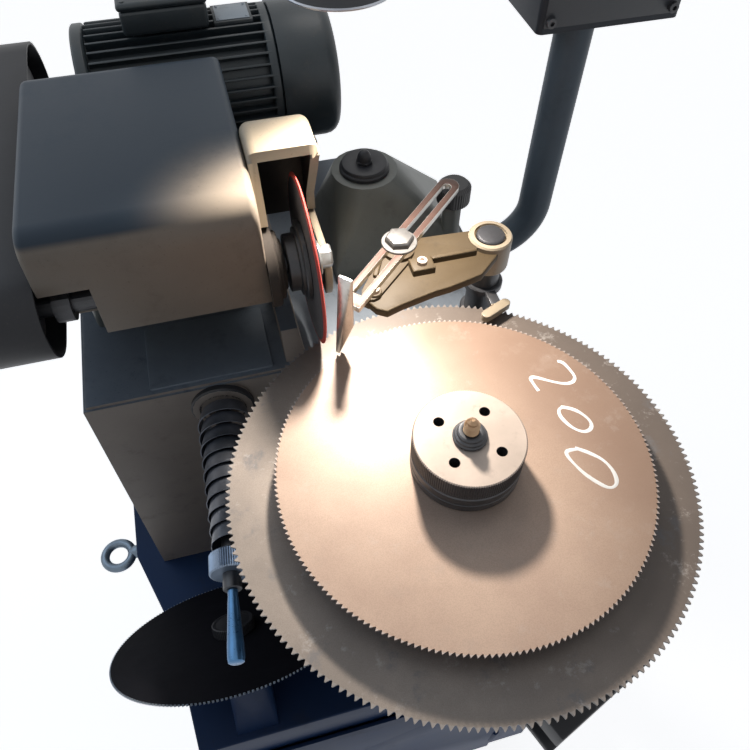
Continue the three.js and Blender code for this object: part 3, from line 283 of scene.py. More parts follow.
class Flow:
    def __init__(self, finish, socket):
        self.finish, self.socket = finish, socket

    def count(self, operation, first, second):
        return self.finish.node("ShaderNodeMath", {"operation": operation}, {0: first, 1: second})

    def __add__(self, other):
        return self.count("ADD", self, other)

    def __sub__(self, other):
        return self.count("SUBTRACT", self, other)

    def __rsub__(self, other):
        return self.count("SUBTRACT", other, self)

    def __mul__(self, other):
        return self.count("MULTIPLY", self, other)

    __radd__ = __add__
    __rmul__ = __mul__

    def band(self, low, high):  # 0 below low and 1 above high
        return self.finish.node("ShaderNodeMapRange", {"interpolation_type": "SMOOTHSTEP"},
                                {"Value": self, "From Min": low, "From Max": high})


class Finish:
    def __init__(self, name):
        self.material = bpy.data.materials.new(name)
        self.material.use_nodes = True
        self.tree = self.material.node_tree
        self.place = self.node("ShaderNodeTexCoord", output="Object")

    def connect(self, sockets, values):
        for key, value in values.items():
            if isinstance(value, Flow):
                self.tree.links.new(value.socket, sockets[key])
            else:
                sockets[key].default_value = value

    def node(self, kind, settings=None, values=None, output=0):
        made = self.tree.nodes.new(kind)
        for key, value in (settings or {}).items():
            setattr(made, key, value)
        self.connect(made.inputs, values or {})
        return Flow(self, made.outputs[output])

    def noise(self, scale, detail=3, roughness=0.5, where=None):
        return self.node("ShaderNodeTexNoise", {}, {"Vector": where or self.place, "Scale": scale,
                                                     "Detail": detail, "Roughness": roughness})

    def mix(self, mask, first, second):
        first, second = [c if isinstance(c, Flow) else (*c, 1) for c in (first, second)]
        return self.node("ShaderNodeMix", {"data_type": "RGBA"}, {0: mask, 6: first, 7: second}, output=2)

    def feed(self, **values):
        sockets = self.tree.nodes["Principled BSDF"].inputs
        self.connect(sockets, {key.replace("_", " "): value for key, value in values.items()})
        return self.material

    def bump(self, height, depth):
        lift = self.node("ShaderNodeBump", {}, {"Strength": 1, "Distance": depth * mm, "Height": height})
        self.feed(Normal=lift)


def reachFrom(finish, centre, turn=(0, 0, 0)):  # distance from an axis along the turned Z, and angle round it
    local = finish.node("ShaderNodeMapping", {"vector_type": "TEXTURE"},
                        {"Vector": finish.place, "Location": centre, "Rotation": inRadians(turn)})
    x, y = [finish.node("ShaderNodeSeparateXYZ", {}, {"Vector": local}, output=key) for key in ("X", "Y")]
    reach = finish.node("ShaderNodeMath", {"operation": "SQRT"}, {0: x * x + y * y})
    return reach, finish.node("ShaderNodeMath", {"operation": "ARCTAN2"}, {0: y, 1: x})


def paintFinish(name, look, topReflection, metal):
    finish = Finish(name)
    patches = finish.noise(look["patches"], 5, 0.6)
    smears = finish.noise(look["patches"] * 3.7, 6, 0.72)
    specks = finish.noise(520, 2, 0.5).band(0.66, 0.74)
    grime = smears.band(0.52, 0.74) * look["grime"]
    colour = finish.mix(patches.band(0.3, 0.7), look["shade"], look["base"])
    colour = finish.mix(grime, colour, look["dirt"])
    colour = finish.mix(specks * look["specks"], colour, look["dirt"])
    if topReflection:  # painted reflection and shade: dark blue on the top, fading out near the wheel where the lamp's light falls
        reach = reachFrom(finish, topReflection["clean"])[0]
        height = finish.node("ShaderNodeSeparateXYZ", {}, {"Vector": finish.place}, output=2)
        reflectedTop = height.band(topReflection["low"].z, topReflection["high"].z) * reach.band(topReflection["from"] * mm, topReflection["to"] * mm)
        colour = finish.mix(reflectedTop * topReflection["share"], colour, topReflection["colour"])
    finish.bump(finish.noise(240, 2) * 0.5 + finish.noise(38, 3, 0.6), look["bump"])
    return finish.feed(Base_Color=colour, Roughness=patches * 0.14 + grime * 0.2 + (look["roughness"] - 0.07),
                       Metallic=metal, Specular_IOR_Level=look["shine"])


paintKeys = ("base", "shade", "dirt", "patches", "grime", "specks", "roughness", "bump", "shine")
paintLooks = {
    "cream": ((0.46, 0.38, 0.275), (0.39, 0.32, 0.23), (0.14, 0.11, 0.085), 7, 0.3, 0.3, 0.42, 0.12, 0.5),
    # dark paint for the head's nose and the inside of the guard: painted shade
    "sooty": ((0.075, 0.062, 0.052), (0.052, 0.044, 0.038), (0.03, 0.027, 0.025),
              16, 0.5, 0.3, 0.7, 0.1, 0.2),
    "lever": ((0.092, 0.066, 0.037), (0.072, 0.051, 0.029), (0.04, 0.03, 0.02),
              11, 0.35, 0.35, 0.5, 0.12, 0.16),
    # bed: the machine's cream paint made darker, partly painted shade
    "bed": ((0.4, 0.335, 0.28), (0.32, 0.265, 0.225), (0.12, 0.1, 0.085), 6, 0.45, 0.35, 0.5, 0.16, 0.5),
    "head": ((0.42, 0.345, 0.27), (0.35, 0.29, 0.23), (0.12, 0.1, 0.08), 5, 0.28, 0.28, 0.42, 0.1, 0.22),
    "greyGreen": ((0.165, 0.172, 0.155), (0.13, 0.138, 0.125), (0.06, 0.06, 0.052),
                  8, 0.35, 0.3, 0.45, 0.14, 0.5),
    "plate": ((0.28, 0.33, 0.38), (0.225, 0.265, 0.31), (0.05, 0.05, 0.05), 9, 0.3, 0.3, 0.42, 0.08, 0.5),
    # motor: a little darker than its real paint, painted shade
    "motor": ((0.03, 0.041, 0.048), (0.021, 0.03, 0.036), (0.12, 0.1, 0.08), 9, 0.22, 0.3, 0.44, 0.16, 0.5),
    "tube": ((0.15, 0.185, 0.215), (0.12, 0.15, 0.175), (0.06, 0.065, 0.07), 8, 0.22, 0.2, 0.46, 0.08, 0.22),
    "box": ((0.055, 0.062, 0.074), (0.042, 0.048, 0.058), (0.04, 0.04, 0.045), 8, 0.22, 0.22, 0.46, 0.1, 0.2),
    "blue": ((0.011, 0.034, 0.1), (0.008, 0.024, 0.072), (0.03, 0.03, 0.035), 5, 0.3, 0.3, 0.5, 0.14, 0.16),
    "black": ((0.036, 0.037, 0.042), (0.024, 0.025, 0.029), (0.07, 0.065, 0.06),
              14, 0.22, 0.25, 0.46, 0.08, 0.3),
    "bedTop": ((0.26, 0.3, 0.345), (0.21, 0.24, 0.28), (0.05, 0.052, 0.055), 8, 0.45, 0.4, 0.5, 0.14, 0.3),
    "dataPlate": ((0.27, 0.31, 0.35), (0.22, 0.26, 0.3), (0.1, 0.1, 0.1), 12, 0.3, 0.3, 0.4, 0.04, 0.5),
    "darkBox": ((0.06, 0.064, 0.072), (0.045, 0.05, 0.058), (0.1, 0.09, 0.08), 10, 0.2, 0.2, 0.45, 0.07, 0.5),
}
# the head's top: a painted blue reflection and painted shade, left out round the lit place near the wheel
topReflections = {"head": {"colour": (0.022, 0.044, 0.07), "clean": at(-128, 205, 160), "from": 12, "to": 105,
                  "low": at(0, 0, 150), "high": at(0, 0, 156), "share": 0.95}}
metals = {"dataPlate": 0.4}
paints = {name: paintFinish(name + "Paint", dict(zip(paintKeys, row)), topReflections.get(name), metals.get(name, 0))
          for name, row in paintLooks.items()}


def steelFinish(name, look):
    finish = Finish(name)
    clouds = finish.noise(look["clouds"], 4, 0.6)
    grain = finish.noise(look["grain"], 2, 0.5)
    oil = finish.noise(look["clouds"] * 2.9, 5, 0.7).band(0.55, 0.72) * look["oil"]
    colour = finish.mix(clouds.band(0.3, 0.7), look["shade"], look["base"])
    colour = finish.mix(oil, colour, look["dirt"])
    finish.bump(grain, look["bump"])
    return finish.feed(Base_Color=colour, Metallic=look["metal"],
                       Roughness=grain * 0.14 + clouds * 0.12 + (look["roughness"] - 0.13))


steelKeys = ("base", "shade", "dirt", "clouds", "grain", "oil", "metal", "roughness", "bump")
steelLooks = {
    "bright": ((0.66, 0.64, 0.6), (0.5, 0.48, 0.45), (0.16, 0.13, 0.1), 40, 900, 0.4, 0.9, 0.32, 0.02),
    "bolt": ((0.16, 0.155, 0.15), (0.115, 0.11, 0.105), (0.06, 0.05, 0.042), 40, 900, 0.4, 0.5, 0.4, 0.02),
    "dark": ((0.085, 0.086, 0.092), (0.05, 0.052, 0.058), (0.16, 0.13, 0.11), 34, 700, 0.3, 0.4, 0.4, 0.03),
    "spring": ((0.15, 0.16, 0.185), (0.09, 0.1, 0.12), (0.15, 0.14, 0.13), 30, 500, 0.35, 0.4, 0.36, 0.02),
    "iron": ((0.075, 0.075, 0.08), (0.05, 0.05, 0.055), (0.14, 0.11, 0.09), 16, 320, 0.35, 0.5, 0.52, 0.12),
    "flange": ((0.56, 0.46, 0.39), (0.46, 0.38, 0.32), (0.2, 0.15, 0.12), 26, 800, 0.3, 0.25, 0.42, 0.03),
    "bronze": ((0.42, 0.28, 0.17), (0.3, 0.19, 0.11), (0.08, 0.06, 0.05), 60, 800, 0.4, 0.7, 0.34, 0.03),
    # eye: the blue in this steel is a painted reflection
    "eye": ((0.2, 0.26, 0.33), (0.13, 0.17, 0.22), (0.08, 0.08, 0.08), 30, 500, 0.3, 0.7, 0.36, 0.03),
    "copper": ((0.115, 0.06, 0.045), (0.085, 0.045, 0.034), (0.055, 0.034, 0.027),
               30, 700, 0.3, 0.35, 0.48, 0.02),
    "dial": ((0.3, 0.38, 0.5), (0.2, 0.26, 0.35), (0.05, 0.05, 0.055), 30, 500, 0.3, 0.6, 0.36, 0.02),
    "edge": ((0.55, 0.58, 0.64), (0.38, 0.4, 0.45), (0.08, 0.08, 0.08), 40, 500, 0.5, 0.6, 0.34, 0.02),
    # grip: dark steel with a painted blue reflection
    "grip": ((0.1, 0.27, 0.52), (0.07, 0.19, 0.37), (0.05, 0.05, 0.05), 30, 500, 0.2, 0.5, 0.3, 0.02),
}
steels = {name: steelFinish(name + "Steel", dict(zip(steelKeys, row))) for name, row in steelLooks.items()}


def bladeFinish(name, look):
    finish = Finish(name)
    reach, turn = reachFrom(finish, look["centre"], look["turn"])
    lines, arcs = [finish.noise(1, detail, 0.6, finish.node(
        "ShaderNodeCombineXYZ", {}, {"X": reach * across, "Y": turn * along}))
        for detail, across, along in ((2, 900, 5), (4, 70, 3))]
    clouds = finish.noise(look["clouds"], 5, 0.62)
    mottle = finish.noise(95, 3, 0.6)
    salt = finish.noise(1150, 1, 0.5)
    stains = finish.noise(look["clouds"] * 2.2, 6, 0.7).band(0.56, 0.70) * look["stain"]
    rust = finish.noise(31, 4, 0.6).band(0.72, 0.78) * look["rust"]
    bloom = finish.noise(44, 7, 0.78).band(0.56, 0.68) * look["bloom"]
    rim = reach.band(look["rimStart"] * mm, (look["rimStart"] + 0.3) * mm) * look["rim"]
    # browner away from the pale spot: partly the blade's own brown tarnish, partly a painted falloff of the
    # lamp's light
    fromLitSpot = reachFrom(finish, look["centre"] + Vector((*look["pale"], 0)) * mm)[0]
    brown = fromLitSpot.band(look["brownFrom"] * mm, look["brownTo"] * mm) * 0.75
    colour = finish.mix(clouds.band(0.32, 0.68), look["shade"], look["base"])
    for mask, tone in (
            (brown, look["brown"]), (salt.band(0.35, 0.7) * 0.22, look["dark"]), (stains, look["grey"]),
            (bloom, (0.62, 0.57, 0.53)), (rust, (0.55, 0.27, 0.12)), (rim, (0.62, 0.68, 0.74))):
        colour = finish.mix(mask, colour, tone)
    finish.bump(lines * 0.5 + salt * 0.5, 0.02)
    return finish.feed(Base_Color=colour, Metallic=look["metal"], Specular_IOR_Level=look["shine"],
                       Roughness=lines * 0.10 + arcs * 0.08 + mottle * 0.10 + (look["roughness"] - 0.14))


bladeNames = ("indexBlade", "largeBlade", "spareBlade")
bladeLooks = {
    "centre": (at(0, 0, 24), bladeCentre, at(-233, 24, -290)), "turn": ((0, 0, 0), (0, 0, 0), (-45, 0, 0)),
    "base": ((0.62, 0.455, 0.35), (0.41, 0.345, 0.295), (0.014, 0.014, 0.018)),
    "shade": ((0.52, 0.37, 0.285), (0.31, 0.265, 0.23), (0.010, 0.010, 0.013)),
    "dark": ((0.26, 0.17, 0.125), (0.18, 0.145, 0.12), (0.008, 0.008, 0.010)),
    "grey": ((0.44, 0.34, 0.28), (0.20, 0.195, 0.20), (0.022, 0.022, 0.026)),
    "brown": ((0.21, 0.13, 0.088), (0.125, 0.098, 0.082), (0.012, 0.012, 0.015)),
    # pale: the spot on each blade that the painted lamp light centres on
    "pale": ((-70, -70), (-150, -60), (0, 0)), "brownFrom": (90, 150, 100), "brownTo": (225, 330, 200),
    "rimStart": (155.4, 196.6, 135.9), "rim": (0.25, 0.1, 0.9), "clouds": (9, 13, 10),
    "stain": (0.3, 0.7, 0.2), "bloom": (0.12, 0.45, 0), "rust": (0.15, 0.7, 0), "metal": (0.1, 0.1, 0),
    "roughness": (0.38, 0.42, 0.6), "shine": (0.4, 0.3, 0.03),
}
blades = {name: bladeFinish(name + "Steel", {key: values[i] for key, values in bladeLooks.items()})
          for i, name in enumerate(bladeNames)}


def plasticFinish(name, base, roughness):
    finish = Finish(name)
    clouds = finish.noise(30, 4, 0.6)
    grain = finish.noise(700, 2, 0.5)
    finish.bump(grain, 0.03)
    darker = [c * 0.78 for c in base]
    return finish.feed(Base_Color=finish.mix(clouds.band(0.3, 0.7), darker, base),
                       Roughness=clouds * 0.12 + grain * 0.06 + (roughness - 0.09))


plasticLooks = {
    "knobPlastic": ((0.016, 0.016, 0.018), 0.42), "startPlastic": ((0.03, 0.28, 0.08), 0.3),
    "stopPlastic": ((0.55, 0.025, 0.02), 0.3), "beltRubber": ((0.02, 0.02, 0.02), 0.7),
    "windowPlastic": ((0.16, 0.34, 0.55), 0.15), "chalkWhite": ((0.9, 0.9, 0.88), 0.85),
}
plastics = {name: plasticFinish(name, *look) for name, look in plasticLooks.items()}


def wheelFinish(name, look):
    finish = Finish(name)
    grit = finish.noise(1500, 2, 0.6)
    clouds = finish.noise(22, 4, 0.6)
    reach = reachFrom(finish, look["centre"], alongX)[0]
    colour = finish.mix(clouds.band(0.3, 0.7), look["shade"], look["base"])
    rim = finish.mix(grit.band(0.45, 0.7) * 0.35, look["rim"], look["grit"])
    colour = finish.mix(reach.band(look["rimStart"] * mm, (look["rimStart"] + 0.4) * mm), colour, rim)
    finish.bump(grit, 0.12)
    return finish.feed(Base_Color=colour, Roughness=grit * 0.2 + 0.6)


# the sides dark grey and the rim red: the darkness of the sides is painted shade
abrasive = wheelFinish("wheelAbrasive", {
    "centre": at(-84, 219.475, 72), "base": (0.085, 0.08, 0.082), "shade": (0.055, 0.052, 0.055),
    "rimStart": 76, "rim": (0.62, 0.06, 0.045), "grit": (0.80, 0.30, 0.24)})
print("finishes made")


# Camera where the photograph was taken, lamp light from the machine's own lamp, soft room light

view = {"place": at(-156.1, -276.3, 541.3), "turn": (37.6009, -0.4649, -15.1583), "lens": 34.656}
lens = bpy.data.cameras.new("photoView")
lens.lens, lens.sensor_width, lens.clip_start = view["lens"], 36, 0.01
camera = bpy.data.objects.new("photoView", lens)
camera.location = view["place"]
camera.rotation_euler = inRadians(view["turn"])
bpy.context.scene.collection.objects.link(camera)
bpy.context.scene.camera = camera
bpy.context.scene.view_settings.view_transform = "Standard"

lights = {
    "machineLamp": {"kind": "SPOT", "place": at(-7, 298, 294), "aim": at(-50, -50, 0), "energy": 17,
                    "size": 0.022, "colour": (1.0, 0.92, 0.83), "cone": 112, "blend": 1.0},
    "glareLamp": {"kind": "AREA", "place": at(120, 663, 726), "aim": at(-39, 122, 25), "energy": 0.9,
                  "size": 0.26, "colour": (1.0, 0.97, 0.93)},
    "windowSoft": {"kind": "AREA", "place": at(-1100, 700, 900), "aim": at(-100, 200, 0), "energy": 4,
                   "size": 1.2, "colour": (0.66, 0.82, 1.0)},
}
for name, look in lights.items():
    lamp = bpy.data.lights.new(name, look["kind"])
    lamp.energy, lamp.color = look["energy"], look["colour"]
    if look["kind"] == "AREA":
        lamp.size = look["size"]
    else:
        lamp.shadow_soft_size = look["size"]
        lamp.spot_size, lamp.spot_blend = math.radians(look["cone"]), look["blend"]
    shine = bpy.data.objects.new(name, lamp)
    shine.location = look["place"]
    shine.rotation_euler = (Vector(look["aim"]) - look["place"]).to_track_quat("-Z", "Y").to_euler()
    bpy.context.scene.collection.objects.link(shine)

rayKinds = ["Is Camera Ray", "Is Glossy Ray", "Is Transmission Ray"]
room = {"ambient": (0.105, 0.12, 0.145), "seen": (1.0, 1.0, 1.0)}
world = bpy.data.worlds.new("room")
bpy.context.scene.world = world
world.use_nodes = True
worldNodes, worldLinks = world.node_tree.nodes, world.node_tree.links
rays = worldNodes.new("ShaderNodeLightPath").outputs
ambient, seen = worldNodes["Background"], worldNodes.new("ShaderNodeBackground")
ambient.inputs["Color"].default_value = (*room["ambient"], 1)
seen.inputs["Color"].default_value = (*room["seen"], 1)
shown = rays[rayKinds[0]]
for kind in rayKinds[1:]:
    either = worldNodes.new("ShaderNodeMath")
    either.operation = "MAXIMUM"
    worldLinks.new(shown, either.inputs[0])
    worldLinks.new(rays[kind], either.inputs[1])
    shown = either.outputs[0]
blend = worldNodes.new("ShaderNodeMixShader")
for i, socket in enumerate((shown, ambient.outputs[0], seen.outputs[0])):
    worldLinks.new(socket, blend.inputs[i])
worldLinks.new(blend.outputs[0], worldNodes["World Output"].inputs["Surface"])

floor = startPiece("floor", bpy.ops.mesh.primitive_plane_add, size=9)
pale = Finish("paleFloor")
sight = [pale.node("ShaderNodeLightPath", output=kind) for kind in rayKinds]
pale.feed(Base_Color=(0.86, 0.86, 0.85, 1), Roughness=0.8, Emission_Strength=1,
          Emission_Color=(sight[0] + sight[1] + sight[2]) * 0.85)
floor.data.materials.append(pale.material)
print("camera, lights and floor made")


# Blades: a toothed rim drawn in to the bore, then given its thickness

anyBlade = {"teeth": 200, "bore": 20.5, "thickness": 2, "middle": 0.6}
spareTurn = (-45, 0, 0)
spareUp = Matrix.Rotation(math.radians(spareTurn[0]), 3, "X") @ Vector((0, 0, 1))
spareSeat = at(-233, 24, -290)
bladeSizes = {
    "large": {"radius": 200, "depth": 3.9, "toothShares": [1, 0.93, 0.66, 0.30, 0.06, 0, 0.10, 0.5],
              "place": bladeCentre, "body": "arbor"},
    "index": {"radius": 157.5, "depth": 3, "toothShares": [1, 0.82, 0.55, 0.30, 0.10, 0],
              "place": at(0, 0, 24), "body": "arbor"},
    "spare": {"radius": 137.5, "depth": 2.4, "toothShares": [1, 0.6, 0.2, 0],
              "place": spareSeat + spareUp * 0.001, "body": "base", "turn": spareTurn},
}


def sawBlade(name, size):
    shares, radius = size["toothShares"], size["radius"]
    piece = startPiece(name, bpy.ops.mesh.primitive_circle_add, vertices=anyBlade["teeth"] * len(shares),
                       radius=radius * mm, fill_type="NOTHING")
    for i, share in enumerate(shares):
        openMesh(piece, "VERT", lambda vertex: vertex.index % len(shares) == i)
        resizeRing(1 - size["depth"] * (1 - share) / radius)
        closeMesh(piece)
    openMesh(piece, "EDGE")
    growRing(0, anyBlade["middle"])
    growRing(0, anyBlade["bore"] / (radius * anyBlade["middle"]))
    useModifier(faceOutwards(closeMesh(piece)), "SOLIDIFY", thickness=anyBlade["thickness"] * mm, offset=0)
    return settle(softenEdges(faceOutwards(piece), smooth=25), size["place"], size.get("turn", (0, 0, 0)))


for kind, size in bladeSizes.items():
    blade = sawBlade(kind + "SawBlade", size)
    seat(blade, size["body"], "blade_steel", blades[kind + "Blade"], kind + "_blade")

# Chalk number: the count of teeth, three strokes a little proud of the index blade
chalkStrokes = {
    "two": [(118, 79), (122, 78), (125, 68), (126.5, 58), (122, 53), (114, 53), (103, 59), (91, 67.5),
            (86, 68), (86.5, 60), (88, 52)],
    "zeroUpper": [(100, 31), (109, 27), (116, 18), (119, 9), (116, 3), (109, 1), (102, 6), (97, 15), (95, 24),
                  (98, 30.5), (103, 30)],
    "zeroLower": [(94, -11), (101, -16), (111, -26), (115, -36), (115, -46), (112, -52), (106, -54),
                  (100, -49), (92, -38), (87, -26), (84, -15), (87, -11), (97, -13)],
}
chalk = {"width": 1.5, "height": 0.12, "level": 25, "pressure": 0.28}


def chalkStroke(name, knots):
    piece = tubePiece(name, [(*knot, chalk["level"]) for knot in knots], chalk["width"], 2, "NURBS",
                      chalk["pressure"])
    openMesh(piece)
    bpy.ops.transform.resize(value=(1, 1, chalk["height"] / chalk["width"]),
                             center_override=at(0, 0, chalk["level"]))
    return faceOutwards(closeMesh(piece))


chalkNumber = joinPieces("chalkNumber", *[chalkStroke(*stroke) for stroke in chalkStrokes.items()])
seat(softenEdges(chalkNumber), "arbor", "blade_steel", plastics["chalkWhite"])
print("blades made")


# Arbor stack: spacer, collar, knurled top flange with four holes, clamp nut and stud

def knurledPiece(name, size, place=origin, turn=(0, 0, 0)):
    radius, top, chamfer = size["radius"], size["height"], size["chamfer"]
    piece = startPiece(name, bpy.ops.mesh.primitive_circle_add, vertices=size["knurls"] * 2,
                       radius=radius * mm, fill_type="NOTHING")
    openMesh(piece, "VERT", lambda vertex: vertex.index % 2 == 1)
    resizeRing(1 - size["depth"] / radius)
    openMesh(closeMesh(piece), "EDGE")
    rim = 1 - chamfer / radius
    share, height = rim, 0
    resizeRing(rim)
    for nextShare, nextHeight in ((1, chamfer), (1, top - chamfer), (rim, top)):
        growRing(nextHeight - height, nextShare / share, nextHeight)
        share, height = nextShare, nextHeight
    if "bore" in size:
        inward = size["bore"] / (radius * rim)
        growRing(0, inward, top)
        growRing(-top)
        growRing(0, 1 / inward)
    else:
        bpy.ops.mesh.edge_face_add()
        bpy.ops.mesh.select_all(action="DESELECT")
        bpy.ops.mesh.select_non_manifold()
        bpy.ops.mesh.edge_face_add()
    return settle(softenEdges(faceOutwards(closeMesh(piece)), smooth=20), place, turn)


flange = {"radius": 45.6, "height": 20, "bore": 6.6, "knurls": 150, "depth": 0.6, "chamfer": 0.9}
topFlange = knurledPiece("topFlange", flange, at(0, 0, 43.5))
holes = [turnedPiece("hole", [(4.5, 4), (4.5, 26)], at(27.5 * math.cos(turn), 27.5 * math.sin(turn), 43.5),
                     sides=32) for turn in inRadians((45, 135, 225, 315))]
softenEdges(carve(topFlange, *holes), smooth=20)
# painted shade: the knurled side takes the dark steel, the top the pale flange steel
twoFinishes(topFlange, steels["dark"], steels["flange"],
            lambda face: face.normal.z > 0.5 and face.center.z > at(0, 0, 60).z)
seat(topFlange, "arbor", "dark_steel", None, "top_flange")
seatTurned("clamp_collar", "arbor", "dark_steel", steels["dark"], [
    (20.3, 0), (44.4, 0), (45.6, 1.2), (45.6, 8.2), (44.6, 8.6), (44.6, 9.6), (45.6, 10), (45.6, 17.3),
    (44.4, 18.5), (20.3, 18.5), (20.3, 0)], at(0, 0, 25), smooth=25, sides=96)
seatTurned("blade_spacer", "arbor", "bright_steel", steels["bright"], [
    (20.3, 0), (31.4, 0), (32, 0.6), (32, 21.4), (31.4, 22), (20.3, 22), (20.3, 0)], at(0, 0, 1))
seatTurned("lower_flange", "arbor", "dark_steel", steels["dark"], [
    (20.3, 0), (49, 0), (50, 1), (50, 12), (49, 13), (20.3, 13), (20.3, 0)], at(0, 0, -14), sides=72)

crown = {"drop": 0.09, "draw": 0.87, "edge": 0.35}


def hexHead(name, flats, height, place, turn=(0, 0, 0)):
    across = flats / math.sqrt(3)
    profile = [(across, 0), (across, height - flats * crown["drop"]), (across * crown["draw"], height)]
    return settle(softenEdges(turnedPiece(name, profile, sides=6), crown["edge"]), place, turn)


arborShaft = turnedPiece("arborShaft", [
    (15.2, -74), (16, -73.2), (16, -19.3), (43, -19.3), (44, -18.6), (44, -15), (43.4, -14.3), (19.6, -14.3),
    (19.6, 62), (18.8, 62.9), (6, 62.9), (6, 80.5), (4.2, 82.4), (4.2, 84), (1.4, 86.5),
], bladeCentre, sides=48)
thread = {"start": 72.6, "turns": 11, "pitch": 0.75, "root": 5.6, "crest": 6.35, "dip": 5.75}
threadPoints = [(thread["root"], 63)]
for i in range(thread["turns"]):
    level = thread["start"] + i * thread["pitch"]
    threadPoints += [(thread["crest"], level), (thread["dip"], level + 0.35)]
studThread = turnedPiece("studThread", [*threadPoints, (thread["root"], 81)], bladeCentre, sides=32)
seat(softenEdges(arborShaft), "arbor", "bright_steel", steels["bronze"], "arbor")
seat(softenEdges(studThread, smooth=20), "arbor", "bright_steel", steels["bronze"])
seatTurned("clamp_nut", "arbor", "bright_steel", steels["dark"], [
    (6.6, 0), (13.6, 0), (14, 0.5), (14, 2.2), (13.2, 2.8), (12.8, 3), (12.8, 4.8), (11.4, 5.6), (11, 5.8),
    (11, 7.4), (9.6, 8.6), (6.6, 8.8), (6.6, 0)], at(0, 0, 63.6), width=0.2, smooth=25, sides=56)
print("arbor made")


# Grinding head: housing, guard, wheel with its flanges, bolt

spindleAxis = (219.475, 72)
head = {"left": -315, "right": -123, "front": 193.975, "back": 445.975, "low": 51, "high": 163,
        "frontRound": 25, "backRound": 18, "sideRound": 7, "notch": (43, 30, 55), "bore": 17.4}
housing = boxPiece("headHousing", (head["left"], head["front"], head["low"]),
                   (head["right"], head["back"], head["high"]))
roundEdges(housing, head["frontRound"], 12, lambda a, b: max(a.y, b.y) < 195 and min(a.z, b.z) > 162)
roundEdges(housing, head["backRound"], 10, lambda a, b: min(a.y, b.y) > 445 and min(a.z, b.z) > 162)
roundEdges(housing, head["sideRound"], 5, lambda a, b: abs(a.x - b.x) < 1 and min(a.z, b.z) > 52 and (
    min(a.x, b.x) > -124 or max(a.x, b.x) < -314))
slideBlock = boxPiece("headSlide", (-279, 290, 2.3), (-159, 431, 52))
corner = Vector((head["left"], head["front"], head["low"]))
carve(housing, boxPiece("notch", corner - Vector((5, 5, 5)), corner + Vector(head["notch"])),
      turnedPiece("bore", [(head["bore"], 0), (head["bore"], 212)], at(-325, *spindleAxis), alongX))
housing = joinPieces("headHousing", softenEdges(housing, 1.2, sharp=50), softenEdges(slideBlock, 2))
seat(housing, "head", "cast_paint", paints["head"], "head_housing")
nose = turnedPiece("headNose", [
    (17.4, 0), (38, 0), (38, 8), (36.6, 9.4), (32, 10), (32, 12.6), (30.6, 14), (24, 14.4), (24, 16),
    (23, 17), (17.4, 17), (17.4, 0)], at(-123, *spindleAxis), alongX, sides=72)
# the nose is painted dark: painted shade round the hub
seat(softenEdges(nose), "head", "cast_paint", paints["sooty"])
guard = fromSolid("wheel_guard", 0, 0)
roundEdges(guard, 9, 8, lambda a, b: abs(a.x - b.x) < 1 and min(a.z, b.z) > 135 and (
    max(a.x, b.x) > -61 or min(a.x, b.x) < -121))
skirtCorners = [(224, 64), (219, 52), (217, 40), (219, 28), (224, 17), (306, 17), (306, 64)]
guardSkirt = platePiece("guardSkirt", skirtCorners, -67.6, -59.8, turn=(90, 0, 90))
guard = joinPieces("wheelGuard", softenEdges(guard, 1.8, 3), softenEdges(guardSkirt, 1.8, 3))
hood = {"low": at(-115.3, 224.6, 0), "high": at(-67.1, 0, 164.3)}  # inside it the guard is painted dark: painted shade
twoFinishes(guard, paints["cream"], paints["sooty"], lambda face: (
    hood["low"].x < face.center.x < hood["high"].x and face.center.y > hood["low"].y
    and face.center.z < hood["high"].z))
seat(guard, "head", "cast_paint", None, "wheel_guard")
seatSolid("infeed_saddle", 2, 3, "saddle", "grey_green_paint", paints["greyGreen"])
seatSolid("motor_bracket", 2, 3, "head", "cast_paint", paints["cream"])

seatTurned("grinding_wheel", "wheel_spindle", "wheel_abrasive", abrasive, [
    (8.3, 0), (77, 0), (80, 1.1), (80, 1.9), (77, 3), (8.3, 3), (8.3, 0)],
    at(-85.5, *spindleAxis), alongX, sides=128)
seatTurned("inner_flange", "wheel_spindle", "dark_steel", steels["dark"], [
    (8.3, 0), (26, 0), (27, 0.8), (27, 9.4), (29, 10), (32, 10.4), (32, 12.6), (36.8, 13), (38, 14),
    (38, 17.2), (37, 18), (8.3, 18), (8.3, 0)], at(-103.5, *spindleAxis), alongX, sides=72)
seatTurned("outer_flange", "wheel_spindle", "dark_steel", steels["dark"], [
    (8.3, 0), (34, 0), (34, 4.4), (32.6, 5.4), (25, 6.2), (23.8, 8), (8.3, 8), (8.3, 0)],
    at(-82.5, *spindleAxis), alongX, sides=72)
boltPlace = at(-74.5, *spindleAxis)
boltWasher = turnedPiece("boltWasher", [(15, 0), (16, 0.6), (16, 2.4), (15, 3)], boltPlace, alongX, sides=48)
wheelBolt = joinPieces("wheelBolt", softenEdges(boltWasher), hexHead("boltHead", 20, 14, boltPlace, alongX))
seat(wheelBolt, "wheel_spindle", "bright_steel", steels["bright"], "wheel_bolt")
print("grinding head made")


# Motor: fins round a smooth body, end shield, fan cover with slots, terminal box with a lid

